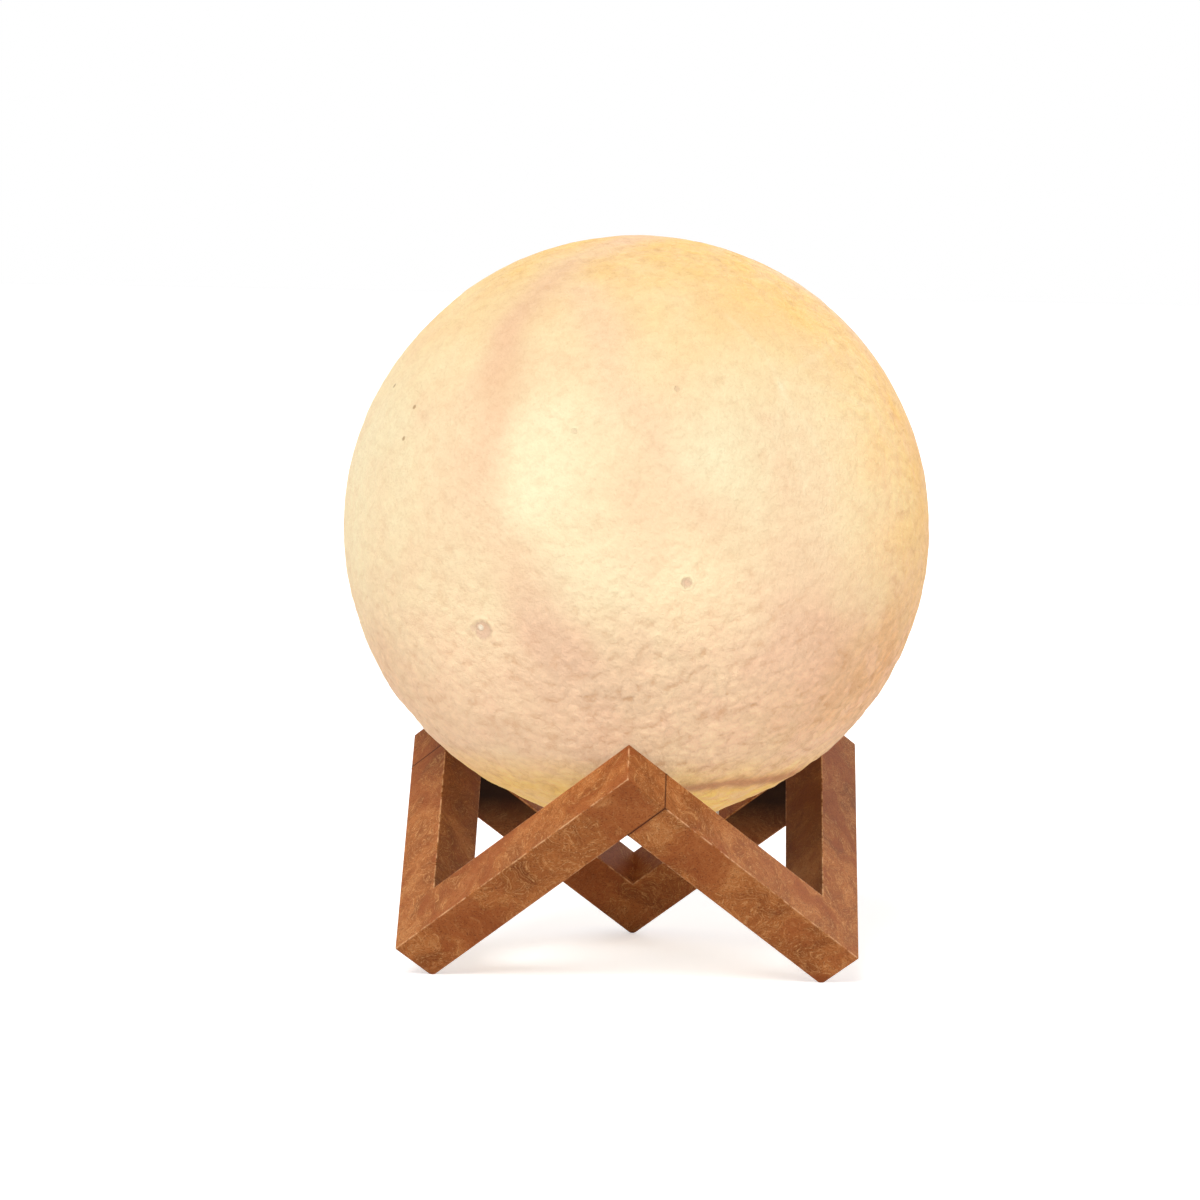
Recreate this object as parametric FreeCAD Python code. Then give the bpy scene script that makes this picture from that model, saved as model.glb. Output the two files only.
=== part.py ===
import FreeCAD, Part
import math
import os

# Moon lamp: a printed globe lit from inside, resting on a three-legged zigzag stand.
# Millimetres, +Z up. The origin is on the lamp's axis, on the table.

# Globe
globe_diameter = 150.0
shell_wall = 2.0
neck_floor = 3.0
seat_gap = 0.3
inner_band = 15.0

# Stand: square bars along six edges of a cube that stands on a corner
cube_edge = 82.0
bar_section = 13.0
arris = 0.3
foot_flat = 0.6

# Dowels in the stand's butt joints
dowel_diameter = 5.0
dowel_in_butt = 12.0
dowel_in_side = 8.0
dowel_play = 0.1
dowel_end_play = 0.5

# Neck ring in the globe's bottom hole
neck_bore = 38.4
ring_wall = 1.3
ring_flange_width = 3.2
ring_flange_height = 1.2
ring_glue_gap = 0.1
ring_lead_in = 0.5
turn_clearance = 0.1

# Base cap on the underside
cap_overlap = 1.8
cap_height = 2.0
cap_edge = 0.8
cap_gap = 0.3
cut_margin = 0.6
cap_lip_height = 1.6
cap_lip_wall = 1.2
cap_lip_gap = 0.15
peg_diameter = 2.4

# Module housing
housing_wall = 1.5
band_step = 0.6
band_drop = 0.7
ceiling_thickness = 1.5
rim_height = 0.6
hook_count = 3
hook_width = 8.0
hook_slit = 0.8
hook_gap = 0.3
hook_reach = 1.2
hook_lip = 0.6
hook_ramp = 2.0
tongue_height = 11.0
rib_width = 1.6
rib_depth = 1.6
rib_height = 5.0
rib_angles = (60.0, 120.0, 240.0, 300.0)
# How far a rib, post, hook or lip is drawn into the wall that carries it
root = 0.5

# Housing screws and their posts
screw_shank = 2.2
screw_head = 4.2
screw_length = 8.0
screw_play = 0.05
screw_hole_gap = 0.15
screw_post_wall = 1.7
screw_post_height = 8.5
screw_post_end = 1.0
post_web = 2.4

# Power button and its switch
button_diameter = 11.0
button_play = 0.25
button_proud = 0.8
button_dish = 0.5
button_rim = 1.0
button_edge = 0.3
button_rest_gap = 0.1
button_flange_width = 1.3
button_flange_height = 0.8
button_stem = 4.0
button_stem_length = 0.9
button_travel = 0.6
switch_side = 6.0
switch_height = 3.5
plunger_diameter = 3.5
plunger_play = 0.1
plunger_proud = 1.0
plunger_inside = 0.9
plunger_spare = 0.2

# Control board
board_thickness = 1.2
board_gap = 0.4
notch_gap = 0.3

# Charging socket
socket_margin = 4.0
socket_width = 7.5
socket_depth = 2.7
socket_corner = 1.1
socket_skin = 0.3
socket_back = 0.4
socket_recess = 0.4
socket_opening_gap = 0.35
tongue_width = 3.9
tongue_depth = 0.7
tongue_recess = 0.9
tongue_offset = 0.2
plug_recess_width = 11.4
plug_recess_depth = 7.0
plug_recess = 0.5

# Charge indicator and its light pipe
pipe_margin = 3.6
pipe_angle = 130.0
pipe_diameter = 2.5
pipe_fit = 0.05
pipe_collar_width = 0.5
pipe_collar_height = 0.8
pipe_led_gap = 0.3
indicator_length = 1.6
indicator_width = 0.8
indicator_height = 0.6

# Parts on the board: length, width, height, then the place of the middle
chips = [(4.9, 3.9, 1.6, -6.5, 3.5), (3.0, 3.0, 1.0, 2.0, 6.5), (2.9, 1.6, 1.1, 7.0, 4.0)]
capacitor_length = 2.0
capacitor_width = 1.25
capacitor_height = 1.0
capacitor_places = [(-1.5, 10.5), (1.5, 10.5), (4.2, -2.0), (4.2, 0.6)]
coil_foot = 6.0
coil_foot_corner = 1.2
coil_foot_height = 0.6
coil_diameter = 5.2
coil_height = 2.4
coil_place = (-5.0, -4.0)

# Battery connector on the board
header_width = 6.4
header_depth = 3.6
header_height = 2.8
header_wall = 0.5
header_floor = 0.6
plug_gap = 0.1
plug_height = 3.0

# Battery, taped under the housing's ceiling
battery_height = 8.0
battery_corner = 1.5
battery_gap = 1.0
battery_tape = 1.0
tape_inset = 2.0
cell_room = 2.7

# LED board
led_board_thickness = 1.0
led_board_gap = 0.3
led_count = 8
led_margin = 5.7
led_length = 3.5
led_width = 2.8
led_height = 0.8
led_lens_inset = 0.35
led_lens_proud = 0.25
led_screw_shank = 2.0
led_screw_head = 3.8
led_screw_head_height = 1.2
led_screw_length = 5.0
led_screw_hole_gap = 0.15
led_post_wall = 1.2
led_post_height = 4.5
led_post_gap = 1.6

# Wires
wire_diameter = 1.2
wire_pitch = 2.0
wire_gap = 0.1
lead_below_top = 1.6
lead_row = -8.6
lead_proud = 0.4

# Derived radii
globe_radius = globe_diameter / 2.0
neck_radius = neck_bore / 2.0
ring_radius = neck_radius + ring_wall
hole_radius = ring_radius + ring_glue_gap
cap_radius = hole_radius + cap_overlap
cut_radius = cap_radius + cut_margin
band_radius = neck_radius - turn_clearance
housing_radius = band_radius - band_step
inner_radius = housing_radius - housing_wall
board_radius = inner_radius - board_gap
led_board_radius = inner_radius - led_board_gap
post_radius = screw_shank / 2.0 + screw_post_wall
post_offset = inner_radius - post_radius + root
led_post_radius = led_screw_shank / 2.0 + led_post_wall
led_screw_offset = inner_radius - led_post_radius - led_post_gap

# Derived heights in the light module, whose zero is the globe's flat cut
cap_top = -cap_gap
cap_bottom = cap_top - cap_height
ring_top = neck_floor + ring_flange_height
hook_foot = ring_top + hook_gap
band_top = ring_top - band_drop
button_shoulder = cap_top + button_rest_gap
button_stem_top = button_shoulder + button_flange_height + button_stem_length
switch_bottom = button_stem_top + plunger_proud
board_bottom = switch_bottom + switch_height
board_top = board_bottom + board_thickness
plug_bottom = board_top + header_floor
plug_top = plug_bottom + plug_height
cell_bottom = plug_top + cell_room
cell_top = cell_bottom + battery_height
ceiling_bottom = cell_top + battery_tape
ceiling_top = ceiling_bottom + ceiling_thickness
led_board_top = ceiling_top + led_board_thickness
housing_top = led_board_top + rim_height

# The cell fills the room between the LED board's posts and inside the housing's wall
battery_width = 2 * (led_screw_offset - led_post_radius - battery_gap)
battery_length = 2 * math.sqrt((inner_radius - battery_gap) ** 2 - (battery_width / 2.0) ** 2)
# The connector stands under the cell's end, so that its leads run straight up
header_y = -(battery_length + wire_diameter) / 2.0 - wire_gap
# The LED board's leads pass beside the cell
lead_x = -(battery_width + wire_diameter) / 2.0 - battery_gap

# Each cube edge climbs by this much, and runs outwards by this much, per unit of length
rise = 1.0 / math.sqrt(3.0)
spread = math.sqrt(2.0 / 3.0)
# The feet stand on the corners where a bar's inner face meets its end
table_level = (cube_edge - bar_section) * rise + foot_flat


def edge_direction(azimuth):
    angle = math.radians(azimuth)
    return FreeCAD.Vector(spread * math.cos(angle), spread * math.sin(angle), rise)


# Unit vectors along the three cube edges that leave the lowest corner
edge_x = edge_direction(-30.0)
edge_y = edge_direction(210.0)
edge_z = edge_direction(90.0)


def cube_point(x, y, z):
    """A point given along the three cube edges, in the lamp's frame."""
    lift = FreeCAD.Vector(0, 0, -table_level)
    return edge_x * x + edge_y * y + edge_z * z + lift


def globe_centre_height():
    """Height of the globe's centre when it rests, with seat_gap, on the three top corners.

    The centre lies at equal distances along the three cube edges. A small globe would touch
    the bars' faces, and a larger one their outer corners.
    """
    reach = globe_radius + seat_gap
    outer = cube_edge - arris
    inner = cube_edge - bar_section
    along = bar_section + reach
    if not inner <= along <= outer:
        corner = outer if along > outer else inner
        half = 2 * corner + bar_section
        rest = 2 * corner**2 + bar_section**2 - reach**2
        along = (half + math.sqrt(half**2 - 3 * rest)) / 3.0
    return along / rise - table_level


globe_z = globe_centre_height()
seat_z = globe_z - math.sqrt(globe_radius**2 - cut_radius**2)


def raised(shape):
    """Lifts a piece of the light module from its own zero to the globe's flat cut."""
    shape.translate(FreeCAD.Vector(0, 0, seat_z))
    return shape


def cylinder(radius, low, high, x=0.0, y=0.0):
    return Part.makeCylinder(radius, high - low, FreeCAD.Vector(x, y, low))


def block(width, depth, low, high, x=0.0, y=0.0):
    """A box centred on x, y between two heights."""
    corner = FreeCAD.Vector(x - width / 2.0, y - depth / 2.0, low)
    return Part.makeBox(width, depth, high - low, corner)


def rounded_block(width, depth, low, high, radius, x=0.0, y=0.0):
    """A box with its four upright edges rounded."""
    plain = block(width, depth, low, high, x, y)
    upright = [e for e in plain.Edges if e.BoundBox.ZLength > high - low - 1e-6]
    return plain.makeFillet(radius, upright)


def revolved(profile):
    """Turns a closed outline of radius and height pairs about the lamp's axis."""
    points = [FreeCAD.Vector(r, 0, z) for r, z in profile]
    face = Part.Face(Part.makePolygon(points + [points[0]]))
    return face.revolve(FreeCAD.Vector(0, 0, 0), FreeCAD.Vector(0, 0, 1), 360)


def turned(shape, angle):
    """A copy of a shape, turned about the lamp's axis."""
    copy = shape.copy()
    copy.rotate(FreeCAD.Vector(0, 0, 0), FreeCAD.Vector(0, 0, 1), angle)
    return copy


def around(shape, count, start=0.0):
    """Evenly spaced copies of a shape about the lamp's axis."""
    return [turned(shape, start + 360.0 * i / count) for i in range(count)]


def on_both_sides(make, offset):
    """The same small shape at -offset and +offset along X."""
    return [make(-offset), make(offset)]


# Stand: three equal L-shaped legs. Each zigzags from one top joint down to its foot and up
# to the next, where its short arm butts against the long arm of its neighbour.


def leg_outline():
    """The L cut from one board: the long arm runs through, the short arm ends in a butt joint."""
    side = cube_edge - bar_section
    corners = [
        (0, 0),
        (cube_edge, 0),
        (cube_edge, bar_section),
        (bar_section, bar_section),
        (bar_section, side),
        (0, side),
        (0, 0),
    ]
    return [cube_point(x, side, z) for x, z in corners]


def eased(leg):
    """Takes the sharp arrises off all but the butt end."""
    butt = cube_edge - bar_section
    kept = []
    for edge in leg.Edges:
        along = [(v.Point - cube_point(0, 0, 0)).dot(edge_z) for v in edge.Vertexes]
        if min(along) < butt - arris:
            kept.append(edge)
    return leg.makeChamfer(arris, kept)


def dowel_hole(base, direction, depth):
    radius = dowel_diameter / 2.0 + dowel_play
    return Part.makeCylinder(radius, depth + dowel_end_play, base, direction)


def leg_piece():
    """One leg with its two blind dowel holes and its foot cut flat on the table."""
    side = cube_edge - bar_section
    half = bar_section / 2.0
    board = Part.Face(Part.makePolygon(leg_outline()))
    leg = eased(board.extrude(edge_y * bar_section))
    in_side = dowel_hole(cube_point(cube_edge - half, side, half), edge_y, dowel_in_side)
    in_butt = dowel_hole(cube_point(half, side + half, side), edge_z * -1, dowel_in_butt)
    wide = cube_edge * 2
    below = block(wide, wide, -cube_edge, 0)
    return leg.cut([in_side, in_butt, below])


def stand_dowels():
    """One dowel across each butt joint, a little short of both holes' ends."""
    half = bar_section / 2.0
    base = cube_point(cube_edge - half, cube_edge - bar_section - dowel_in_butt, half)
    length = dowel_in_butt + dowel_in_side
    pin = Part.makeCylinder(dowel_diameter / 2.0, length, base, edge_y)
    return Part.makeCompound(around(pin, 3))


# Globe


def on_globe(radius, latitude):
    angle = math.radians(latitude)
    return FreeCAD.Vector(radius * math.cos(angle), 0, radius * math.sin(angle))


def hollow_points(radius, lowest):
    """The hollow's outline, in flat bands about inner_band degrees high, from the floor up."""
    count = round((90.0 - lowest) / inner_band)
    step = (90.0 - lowest) / count
    found = [on_globe(radius, lowest + step * i) for i in range(count)]
    return found + [FreeCAD.Vector(0, 0, radius)]


def moon_shell():
    """A hollow globe cut flat below, with a thick floor round its neck hole."""
    inside = globe_radius - shell_wall
    cut = -math.sqrt(globe_radius**2 - cut_radius**2)
    floor = cut + neck_floor
    top = FreeCAD.Vector(0, 0, globe_radius)
    rim = FreeCAD.Vector(cut_radius, 0, cut)
    hole = [FreeCAD.Vector(hole_radius, 0, cut), FreeCAD.Vector(hole_radius, 0, floor)]
    hollow = hollow_points(inside, math.degrees(math.asin(floor / inside)))
    outside = Part.Arc(top, on_globe(globe_radius, 0), rim).toShape()
    rest = Part.makePolygon([rim] + hole + hollow + [top])
    outline = Part.Wire([outside] + rest.Edges)
    axis = FreeCAD.Vector(0, 0, 1)
    shell = Part.Face(outline).revolve(FreeCAD.Vector(0, 0, 0), axis, 360)
    shell.translate(FreeCAD.Vector(0, 0, globe_z))
    return shell


def neck_ring():
    """A flanged collar glued into the hole; its bore is the turning fit for the module."""
    flange = ring_radius + ring_flange_width
    ring = revolved(
        [
            (neck_radius, ring_lead_in),
            (neck_radius + ring_lead_in, 0),
            (ring_radius, 0),
            (ring_radius, neck_floor),
            (flange, neck_floor),
            (flange, ring_top),
            (neck_radius, ring_top),
        ]
    )
    return raised(ring)


# Light module: cap and housing


def countersunk_hole(x):
    """Room for a flat-headed screw let in flush with the cap's underside."""
    head = screw_head / 2.0 + screw_hole_gap
    shank = screw_shank / 2.0 + screw_hole_gap
    cone = Part.makeCone(head, shank, head - shank, FreeCAD.Vector(x, 0, cap_bottom))
    return cone.fuse(cylinder(shank, cap_bottom, cap_top + 1, x))


def notch(x):
    """Room round a screw post."""
    return cylinder(post_radius + notch_gap, cap_top, board_top + 1, x)


def rounded_slot(width, depth, low, high, y):
    """An upright slot with half-round ends."""
    side = (width - depth) / 2.0
    ends = [cylinder(depth / 2.0, low, high, x, y) for x in (-side, side)]
    return block(width - depth, depth, low, high, 0, y).fuse(ends)


def socket_y():
    return board_radius - socket_margin


def socket_section(gap, low, high):
    """The socket's outline, grown by a gap, with the corners of its inner long side cut off."""
    x = socket_width / 2.0 + gap
    y = socket_depth / 2.0 + gap
    c = socket_corner
    corners = [(-x, y), (x, y), (x, c - y), (x - c, -y), (c - x, -y), (-x, c - y), (-x, y)]
    points = [FreeCAD.Vector(px, socket_y() + py, low) for px, py in corners]
    return Part.Face(Part.makePolygon(points)).extrude(FreeCAD.Vector(0, 0, high - low))


def pipe_place():
    angle = math.radians(pipe_angle)
    out = board_radius - pipe_margin
    return out * math.cos(angle), out * math.sin(angle)


def base_cap():
    """The round underside: rounded rim, inner lip, three pegs under the control board."""
    plate = revolved(
        [
            (0, cap_bottom),
            (cap_radius - cap_edge, cap_bottom),
            (cap_radius - cap_edge * 0.3, cap_bottom + cap_edge * 0.3),
            (cap_radius, cap_bottom + cap_edge),
            (cap_radius, cap_top),
            (0, cap_top),
        ]
    )
    outer = inner_radius - cap_lip_gap
    lip = cylinder(outer, cap_top - root, cap_lip_height)
    room = cylinder(outer - cap_lip_wall, cap_top - root, cap_lip_height)
    lip = lip.cut([room] + on_both_sides(notch, post_offset))
    peg_radius = peg_diameter / 2.0
    peg_y = peg_diameter - board_radius
    peg = cylinder(peg_radius, cap_top - root, board_bottom, 0, peg_y)
    cap = plate.fuse([lip] + around(peg, 3))
    through = cap_bottom - 1
    pipe_x, pipe_y = pipe_place()
    cuts = on_both_sides(countersunk_hole, post_offset)
    cuts.append(cylinder(button_diameter / 2.0 + button_play, through, cap_top + 1))
    cuts.append(socket_section(socket_opening_gap, through, cap_top + 1))
    high = cap_bottom + plug_recess
    cuts.append(rounded_slot(plug_recess_width, plug_recess_depth, through, high, socket_y()))
    cuts.append(cylinder(pipe_diameter / 2.0 + pipe_fit, through, cap_top + 1, pipe_x, pipe_y))
    return raised(cap.cut(cuts))


def snap_hook():
    """A hook that snaps over the neck ring: flat below, ramped above."""
    reach = neck_radius + hook_reach
    ramp_top = hook_foot + hook_lip + hook_ramp
    hook = revolved(
        [
            (housing_radius - root, hook_foot),
            (reach, hook_foot),
            (reach, hook_foot + hook_lip),
            (housing_radius, ramp_top),
            (housing_radius - root, ramp_top),
        ]
    )
    return hook.common(block(reach, hook_width, hook_foot, ramp_top, reach))


def hook_slit_cut():
    """The U-shaped slit that frees a hook's tongue, open at the hook's foot."""
    depth = housing_wall + root * 2
    middle = inner_radius + housing_wall / 2.0
    top = hook_foot + tongue_height
    frame = block(depth, hook_width + hook_slit * 2, band_top, top, middle)
    return frame.cut(block(depth, hook_width, hook_foot, top, middle))


def housing_cup():
    """The cup without its details: turning band, wall, ceiling and the LED board's seat."""
    return revolved(
        [
            (inner_radius, cap_top),
            (band_radius, cap_top),
            (band_radius, band_top),
            (housing_radius, band_top + band_step),
            (housing_radius, housing_top),
            (inner_radius, housing_top),
            (inner_radius, ceiling_top),
            (0, ceiling_top),
            (0, ceiling_bottom),
            (inner_radius, ceiling_bottom),
        ]
    )


def screw_post(x):
    """A post for a housing screw, joined to the wall by a web."""
    post = cylinder(post_radius, cap_top, screw_post_height, x)
    width = inner_radius + root - abs(x)
    middle = math.copysign(abs(x) + width / 2.0, x)
    return post.fuse(block(width, post_web, cap_top, screw_post_height, middle))


def led_post(x):
    """A post under the ceiling for an LED board screw."""
    return cylinder(led_post_radius, ceiling_bottom - led_post_height, ceiling_bottom + root, x)


def board_rib():
    """A rib whose lower end holds the control board down."""
    width = rib_depth + root
    middle = inner_radius + root - width / 2.0
    return block(width, rib_width, board_top, board_top + rib_height, middle)


def module_housing():
    """A cup, open below, with snap hooks on slit tongues, screw posts and board ribs."""
    ribs = [turned(board_rib(), angle) for angle in rib_angles]
    posts = on_both_sides(screw_post, post_offset) + on_both_sides(led_post, led_screw_offset)
    cup = housing_cup().cut(around(hook_slit_cut(), hook_count, 90.0))
    cup = cup.fuse(around(snap_hook(), hook_count, 90.0) + posts + ribs)
    slot = wire_diameter + wire_gap * 2
    row = wire_pitch + slot
    cuts = [block(slot, row, ceiling_bottom, ceiling_top, lead_x, lead_row)]
    pilot = screw_shank / 2.0 + screw_play
    end = screw_post_height - screw_post_end
    cuts += on_both_sides(lambda x: cylinder(pilot, cap_top, end, x), post_offset)
    led_pilot = led_screw_shank / 2.0 + screw_play
    low = ceiling_top - led_screw_length
    cuts += on_both_sides(lambda x: cylinder(led_pilot, low, ceiling_top, x), led_screw_offset)
    return raised(cup.cut(cuts))


def housing_screws():
    """Two flat-headed screws from the cap's underside into the housing's posts."""
    head = screw_head / 2.0
    shank = screw_shank / 2.0
    screw = revolved(
        [
            (0, cap_bottom),
            (head, cap_bottom),
            (shank, cap_bottom + head - shank),
            (shank, cap_bottom + screw_length),
            (0, cap_bottom + screw_length),
        ]
    )
    screw.translate(FreeCAD.Vector(post_offset, 0, 0))
    return raised(Part.makeCompound(around(screw, 2)))


# Control board and what it carries


def control_board():
    """A round board with two notches, open to the edge, for the screw posts."""
    room = post_radius + notch_gap
    width = board_radius - post_offset
    cuts = on_both_sides(notch, post_offset)
    for side in (-1, 1):
        middle = side * (board_radius + post_offset) / 2.0
        cuts.append(block(width, room * 2, cap_top, board_top + 1, middle))
    return raised(cylinder(board_radius, board_bottom, board_top).cut(cuts))


def charge_socket():
    """The socket's metal shell: open below, closed where it is soldered to the board."""
    low = cap_bottom + plug_recess + socket_recess
    shell = socket_section(0, low, board_bottom)
    return raised(shell.cut(socket_section(-socket_skin, low, board_bottom - socket_back)))


def socket_tongue():
    """The plastic tongue that stands in the socket's shell."""
    low = cap_bottom + plug_recess + socket_recess + tongue_recess
    y = socket_y() + tongue_offset
    return raised(block(tongue_width, tongue_depth, low, board_bottom - socket_back, 0, y))


def tact_switch():
    """The square switch under the board, bored for its plunger."""
    body = block(switch_side, switch_side, switch_bottom, board_bottom)
    end = switch_bottom + plunger_inside + button_travel + plunger_spare
    return raised(body.cut(cylinder(plunger_diameter / 2.0 + plunger_play, switch_bottom, end)))


def switch_plunger():
    """The switch's plunger, which stands on the button's stem and moves with it."""
    top = switch_bottom + plunger_inside
    return raised(cylinder(plunger_diameter / 2.0, button_stem_top, top))


def power_button():
    """A dished round button, held behind the cap by its flange."""
    radius = button_diameter / 2.0
    flange = radius + button_play + button_flange_width
    low = cap_bottom - button_proud
    flange_top = button_shoulder + button_flange_height
    button = revolved(
        [
            (0, low + button_dish),
            (radius - button_rim, low),
            (radius - button_edge, low),
            (radius, low + button_edge),
            (radius, button_shoulder),
            (flange, button_shoulder),
            (flange, flange_top),
            (button_stem / 2.0, flange_top),
            (button_stem / 2.0, button_stem_top),
            (0, button_stem_top),
        ]
    )
    return raised(button)


def board_chips():
    """The charger, controller and LED driver chips on the board's upper side."""
    parts = []
    for length, width, height, x, y in chips:
        parts.append(block(length, width, board_top, board_top + height, x, y))
    return raised(Part.makeCompound(parts))


def power_coil():
    """The boost coil: a round drum on a square foot."""
    x, y = coil_place
    drum_bottom = board_top + coil_foot_height
    foot = rounded_block(coil_foot, coil_foot, board_top, drum_bottom, coil_foot_corner, x, y)
    drum = cylinder(coil_diameter / 2.0, drum_bottom, drum_bottom + coil_height, x, y)
    return raised(foot.fuse(drum))


def board_capacitors():
    """Four ceramic capacitors of one size."""
    top = board_top + capacitor_height
    parts = []
    for x, y in capacitor_places:
        parts.append(block(capacitor_length, capacitor_width, board_top, top, x, y))
    return raised(Part.makeCompound(parts))


def indicator_led():
    """A small LED that faces down into the light pipe."""
    x, y = pipe_place()
    low = board_bottom - indicator_height
    return raised(block(indicator_length, indicator_width, low, board_bottom, x, y))


def light_pipe():
    """A clear rod with a collar that stops it in the cap."""
    x, y = pipe_place()
    radius = pipe_diameter / 2.0
    top = board_bottom - indicator_height - pipe_led_gap
    rod = cylinder(radius, cap_bottom, top, x, y)
    collar = cylinder(radius + pipe_collar_width, cap_top, cap_top + pipe_collar_height, x, y)
    return raised(rod.fuse(collar))


# Battery


def battery_cell():
    """A flat pouch cell with rounded upright edges."""
    width, length = battery_width, battery_length
    return raised(rounded_block(width, length, cell_bottom, cell_top, battery_corner))


def battery_pad():
    """Foam tape between the cell and the housing's ceiling."""
    width = battery_width - tape_inset * 2
    length = battery_length - tape_inset * 2
    return raised(block(width, length, cell_top, ceiling_bottom))


def battery_header():
    """The board half of the battery connector, a box open above."""
    top = board_top + header_height
    shell = block(header_width, header_depth, board_top, top, 0, header_y)
    wall = header_wall * 2
    width, depth = header_width - wall, header_depth - wall
    return raised(shell.cut(block(width, depth, plug_bottom, top, 0, header_y)))


def battery_plug():
    """The leads' half of the connector, standing in the header."""
    wall = (header_wall + plug_gap) * 2
    width, depth = header_width - wall, header_depth - wall
    return raised(block(width, depth, plug_bottom, plug_top, 0, header_y))


def battery_leads():
    """Two leads that rise from the plug beside the cell's end, where they are soldered."""
    side = wire_pitch / 2.0
    high = cell_top - lead_below_top
    leads = [cylinder(wire_diameter / 2.0, plug_top, high, x, header_y) for x in (-side, side)]
    return raised(Part.makeCompound(leads))


# LED board


def lead_places():
    return [lead_row - wire_pitch / 2.0, lead_row + wire_pitch / 2.0]


def led_board():
    """A round metal-backed board in the housing's top, with holes for its leads and screws."""
    board = cylinder(led_board_radius, ceiling_top, led_board_top)
    screw = led_screw_shank / 2.0 + led_screw_hole_gap
    lead = wire_diameter / 2.0 + wire_gap
    cuts = on_both_sides(lambda x: cylinder(screw, ceiling_top, led_board_top, x), led_screw_offset)
    cuts += [cylinder(lead, ceiling_top, led_board_top, lead_x, y) for y in lead_places()]
    return raised(board.cut(cuts))


def warm_leds():
    """LED packages in a ring, each with its slightly proud lens."""
    top = led_board_top + led_height
    inset = led_lens_inset * 2
    case = block(led_length, led_width, led_board_top, top)
    lens = block(led_length - inset, led_width - inset, top, top + led_lens_proud)
    led = case.fuse(lens)
    led.translate(FreeCAD.Vector(led_board_radius - led_margin, 0, 0))
    start = 180.0 / led_count
    return raised(Part.makeCompound(around(led, led_count, start)))


def led_board_screws():
    """Two cheese-headed screws through the LED board into the ceiling's posts."""
    tip = led_board_top - led_screw_length
    shank = cylinder(led_screw_shank / 2.0, tip, led_board_top, led_screw_offset)
    top = led_board_top + led_screw_head_height
    head = cylinder(led_screw_head / 2.0, led_board_top, top, led_screw_offset)
    return raised(Part.makeCompound(around(shank.fuse(head), 2)))


def led_leads():
    """Two leads from the control board up past the cell and through the LED board."""
    radius = wire_diameter / 2.0
    high = led_board_top + lead_proud
    leads = [cylinder(radius, board_top, high, lead_x, y) for y in lead_places()]
    return raised(Part.makeCompound(leads))


def save(name, shape):
    shape.exportStep(os.path.join("parts", name + ".step"))


os.makedirs("parts", exist_ok=True)

leg = leg_piece()
save("stand_left_v", leg)
save("stand_right_v", turned(leg, 120))
save("stand_back_v", turned(leg, 240))
save("stand_dowels", stand_dowels())
save("moon_shell", moon_shell())
save("neck_ring", neck_ring())
save("base_cap", base_cap())
save("module_housing", module_housing())
save("housing_screws", housing_screws())
save("control_board", control_board())
save("charge_socket", charge_socket())
save("socket_tongue", socket_tongue())
save("tact_switch", tact_switch())
save("switch_plunger", switch_plunger())
save("power_button", power_button())
save("board_chips", board_chips())
save("power_coil", power_coil())
save("board_capacitors", board_capacitors())
save("indicator_led", indicator_led())
save("light_pipe", light_pipe())
save("battery_cell", battery_cell())
save("battery_pad", battery_pad())
save("battery_header", battery_header())
save("battery_plug", battery_plug())
save("battery_leads", battery_leads())
save("led_board", led_board())
save("warm_leds", warm_leds())
save("led_board_screws", led_board_screws())
save("led_leads", led_leads())
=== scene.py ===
import math
from functools import partial

import bpy
import numpy as np
from mathutils import Matrix, Vector


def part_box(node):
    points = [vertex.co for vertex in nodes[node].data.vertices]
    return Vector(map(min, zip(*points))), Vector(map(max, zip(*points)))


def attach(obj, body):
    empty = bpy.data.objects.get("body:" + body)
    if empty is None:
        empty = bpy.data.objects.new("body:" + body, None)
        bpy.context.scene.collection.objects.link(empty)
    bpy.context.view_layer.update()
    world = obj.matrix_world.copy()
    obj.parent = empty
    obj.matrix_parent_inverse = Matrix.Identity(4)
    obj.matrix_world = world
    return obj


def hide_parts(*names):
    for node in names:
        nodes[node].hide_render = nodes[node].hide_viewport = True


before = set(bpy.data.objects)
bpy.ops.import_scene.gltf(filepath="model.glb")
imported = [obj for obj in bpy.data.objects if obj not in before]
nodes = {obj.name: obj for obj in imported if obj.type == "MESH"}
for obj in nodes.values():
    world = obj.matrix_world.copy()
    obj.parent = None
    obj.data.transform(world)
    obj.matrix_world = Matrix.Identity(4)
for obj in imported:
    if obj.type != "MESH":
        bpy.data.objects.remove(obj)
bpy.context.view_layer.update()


# Moon globe. A thin hollow sphere printed layer by layer in warm white PLA, with the moon's
# relief on its outside. The wall is thinner in the hollows, so the light behind draws soft
# pale and rosy fields. It is cut flat below, round the hole for the light module.
GLOBE_RADIUS = 75.0
GLOBE_FLOOR = 3.0
GLOBE_HOLLOW = 73.0
RIM_RADIUS = 23.0
HOLE_RADIUS = 20.6
GLOBE_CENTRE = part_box("moon_shell")[1].z * 1000 - GLOBE_RADIUS


def lattice_noise(points, size, seed):
    """Smooth noise from -1 to 1: random values on a cubic lattice of the given cell size in mm,
    blended between the eight corners of a cell with the weight 3t^2 - 2t^3 along each axis."""
    table = np.random.default_rng(seed).uniform(-1, 1, 4096)
    scaled = points / size + 1000.0
    cell = np.floor(scaled).astype(np.int64)
    t = scaled - cell
    t = t * t * (3 - 2 * t)
    total = np.zeros(points.shape[:-1])
    for corner in np.ndindex(2, 2, 2):
        at = cell + corner
        key = (at[..., 0] * 73856093) ^ (at[..., 1] * 19349663) ^ (at[..., 2] * 83492791)
        weight = np.prod(np.where(np.array(corner) == 1, t, 1 - t), axis=-1)
        total += table[key % 4096] * weight
    return total


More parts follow.
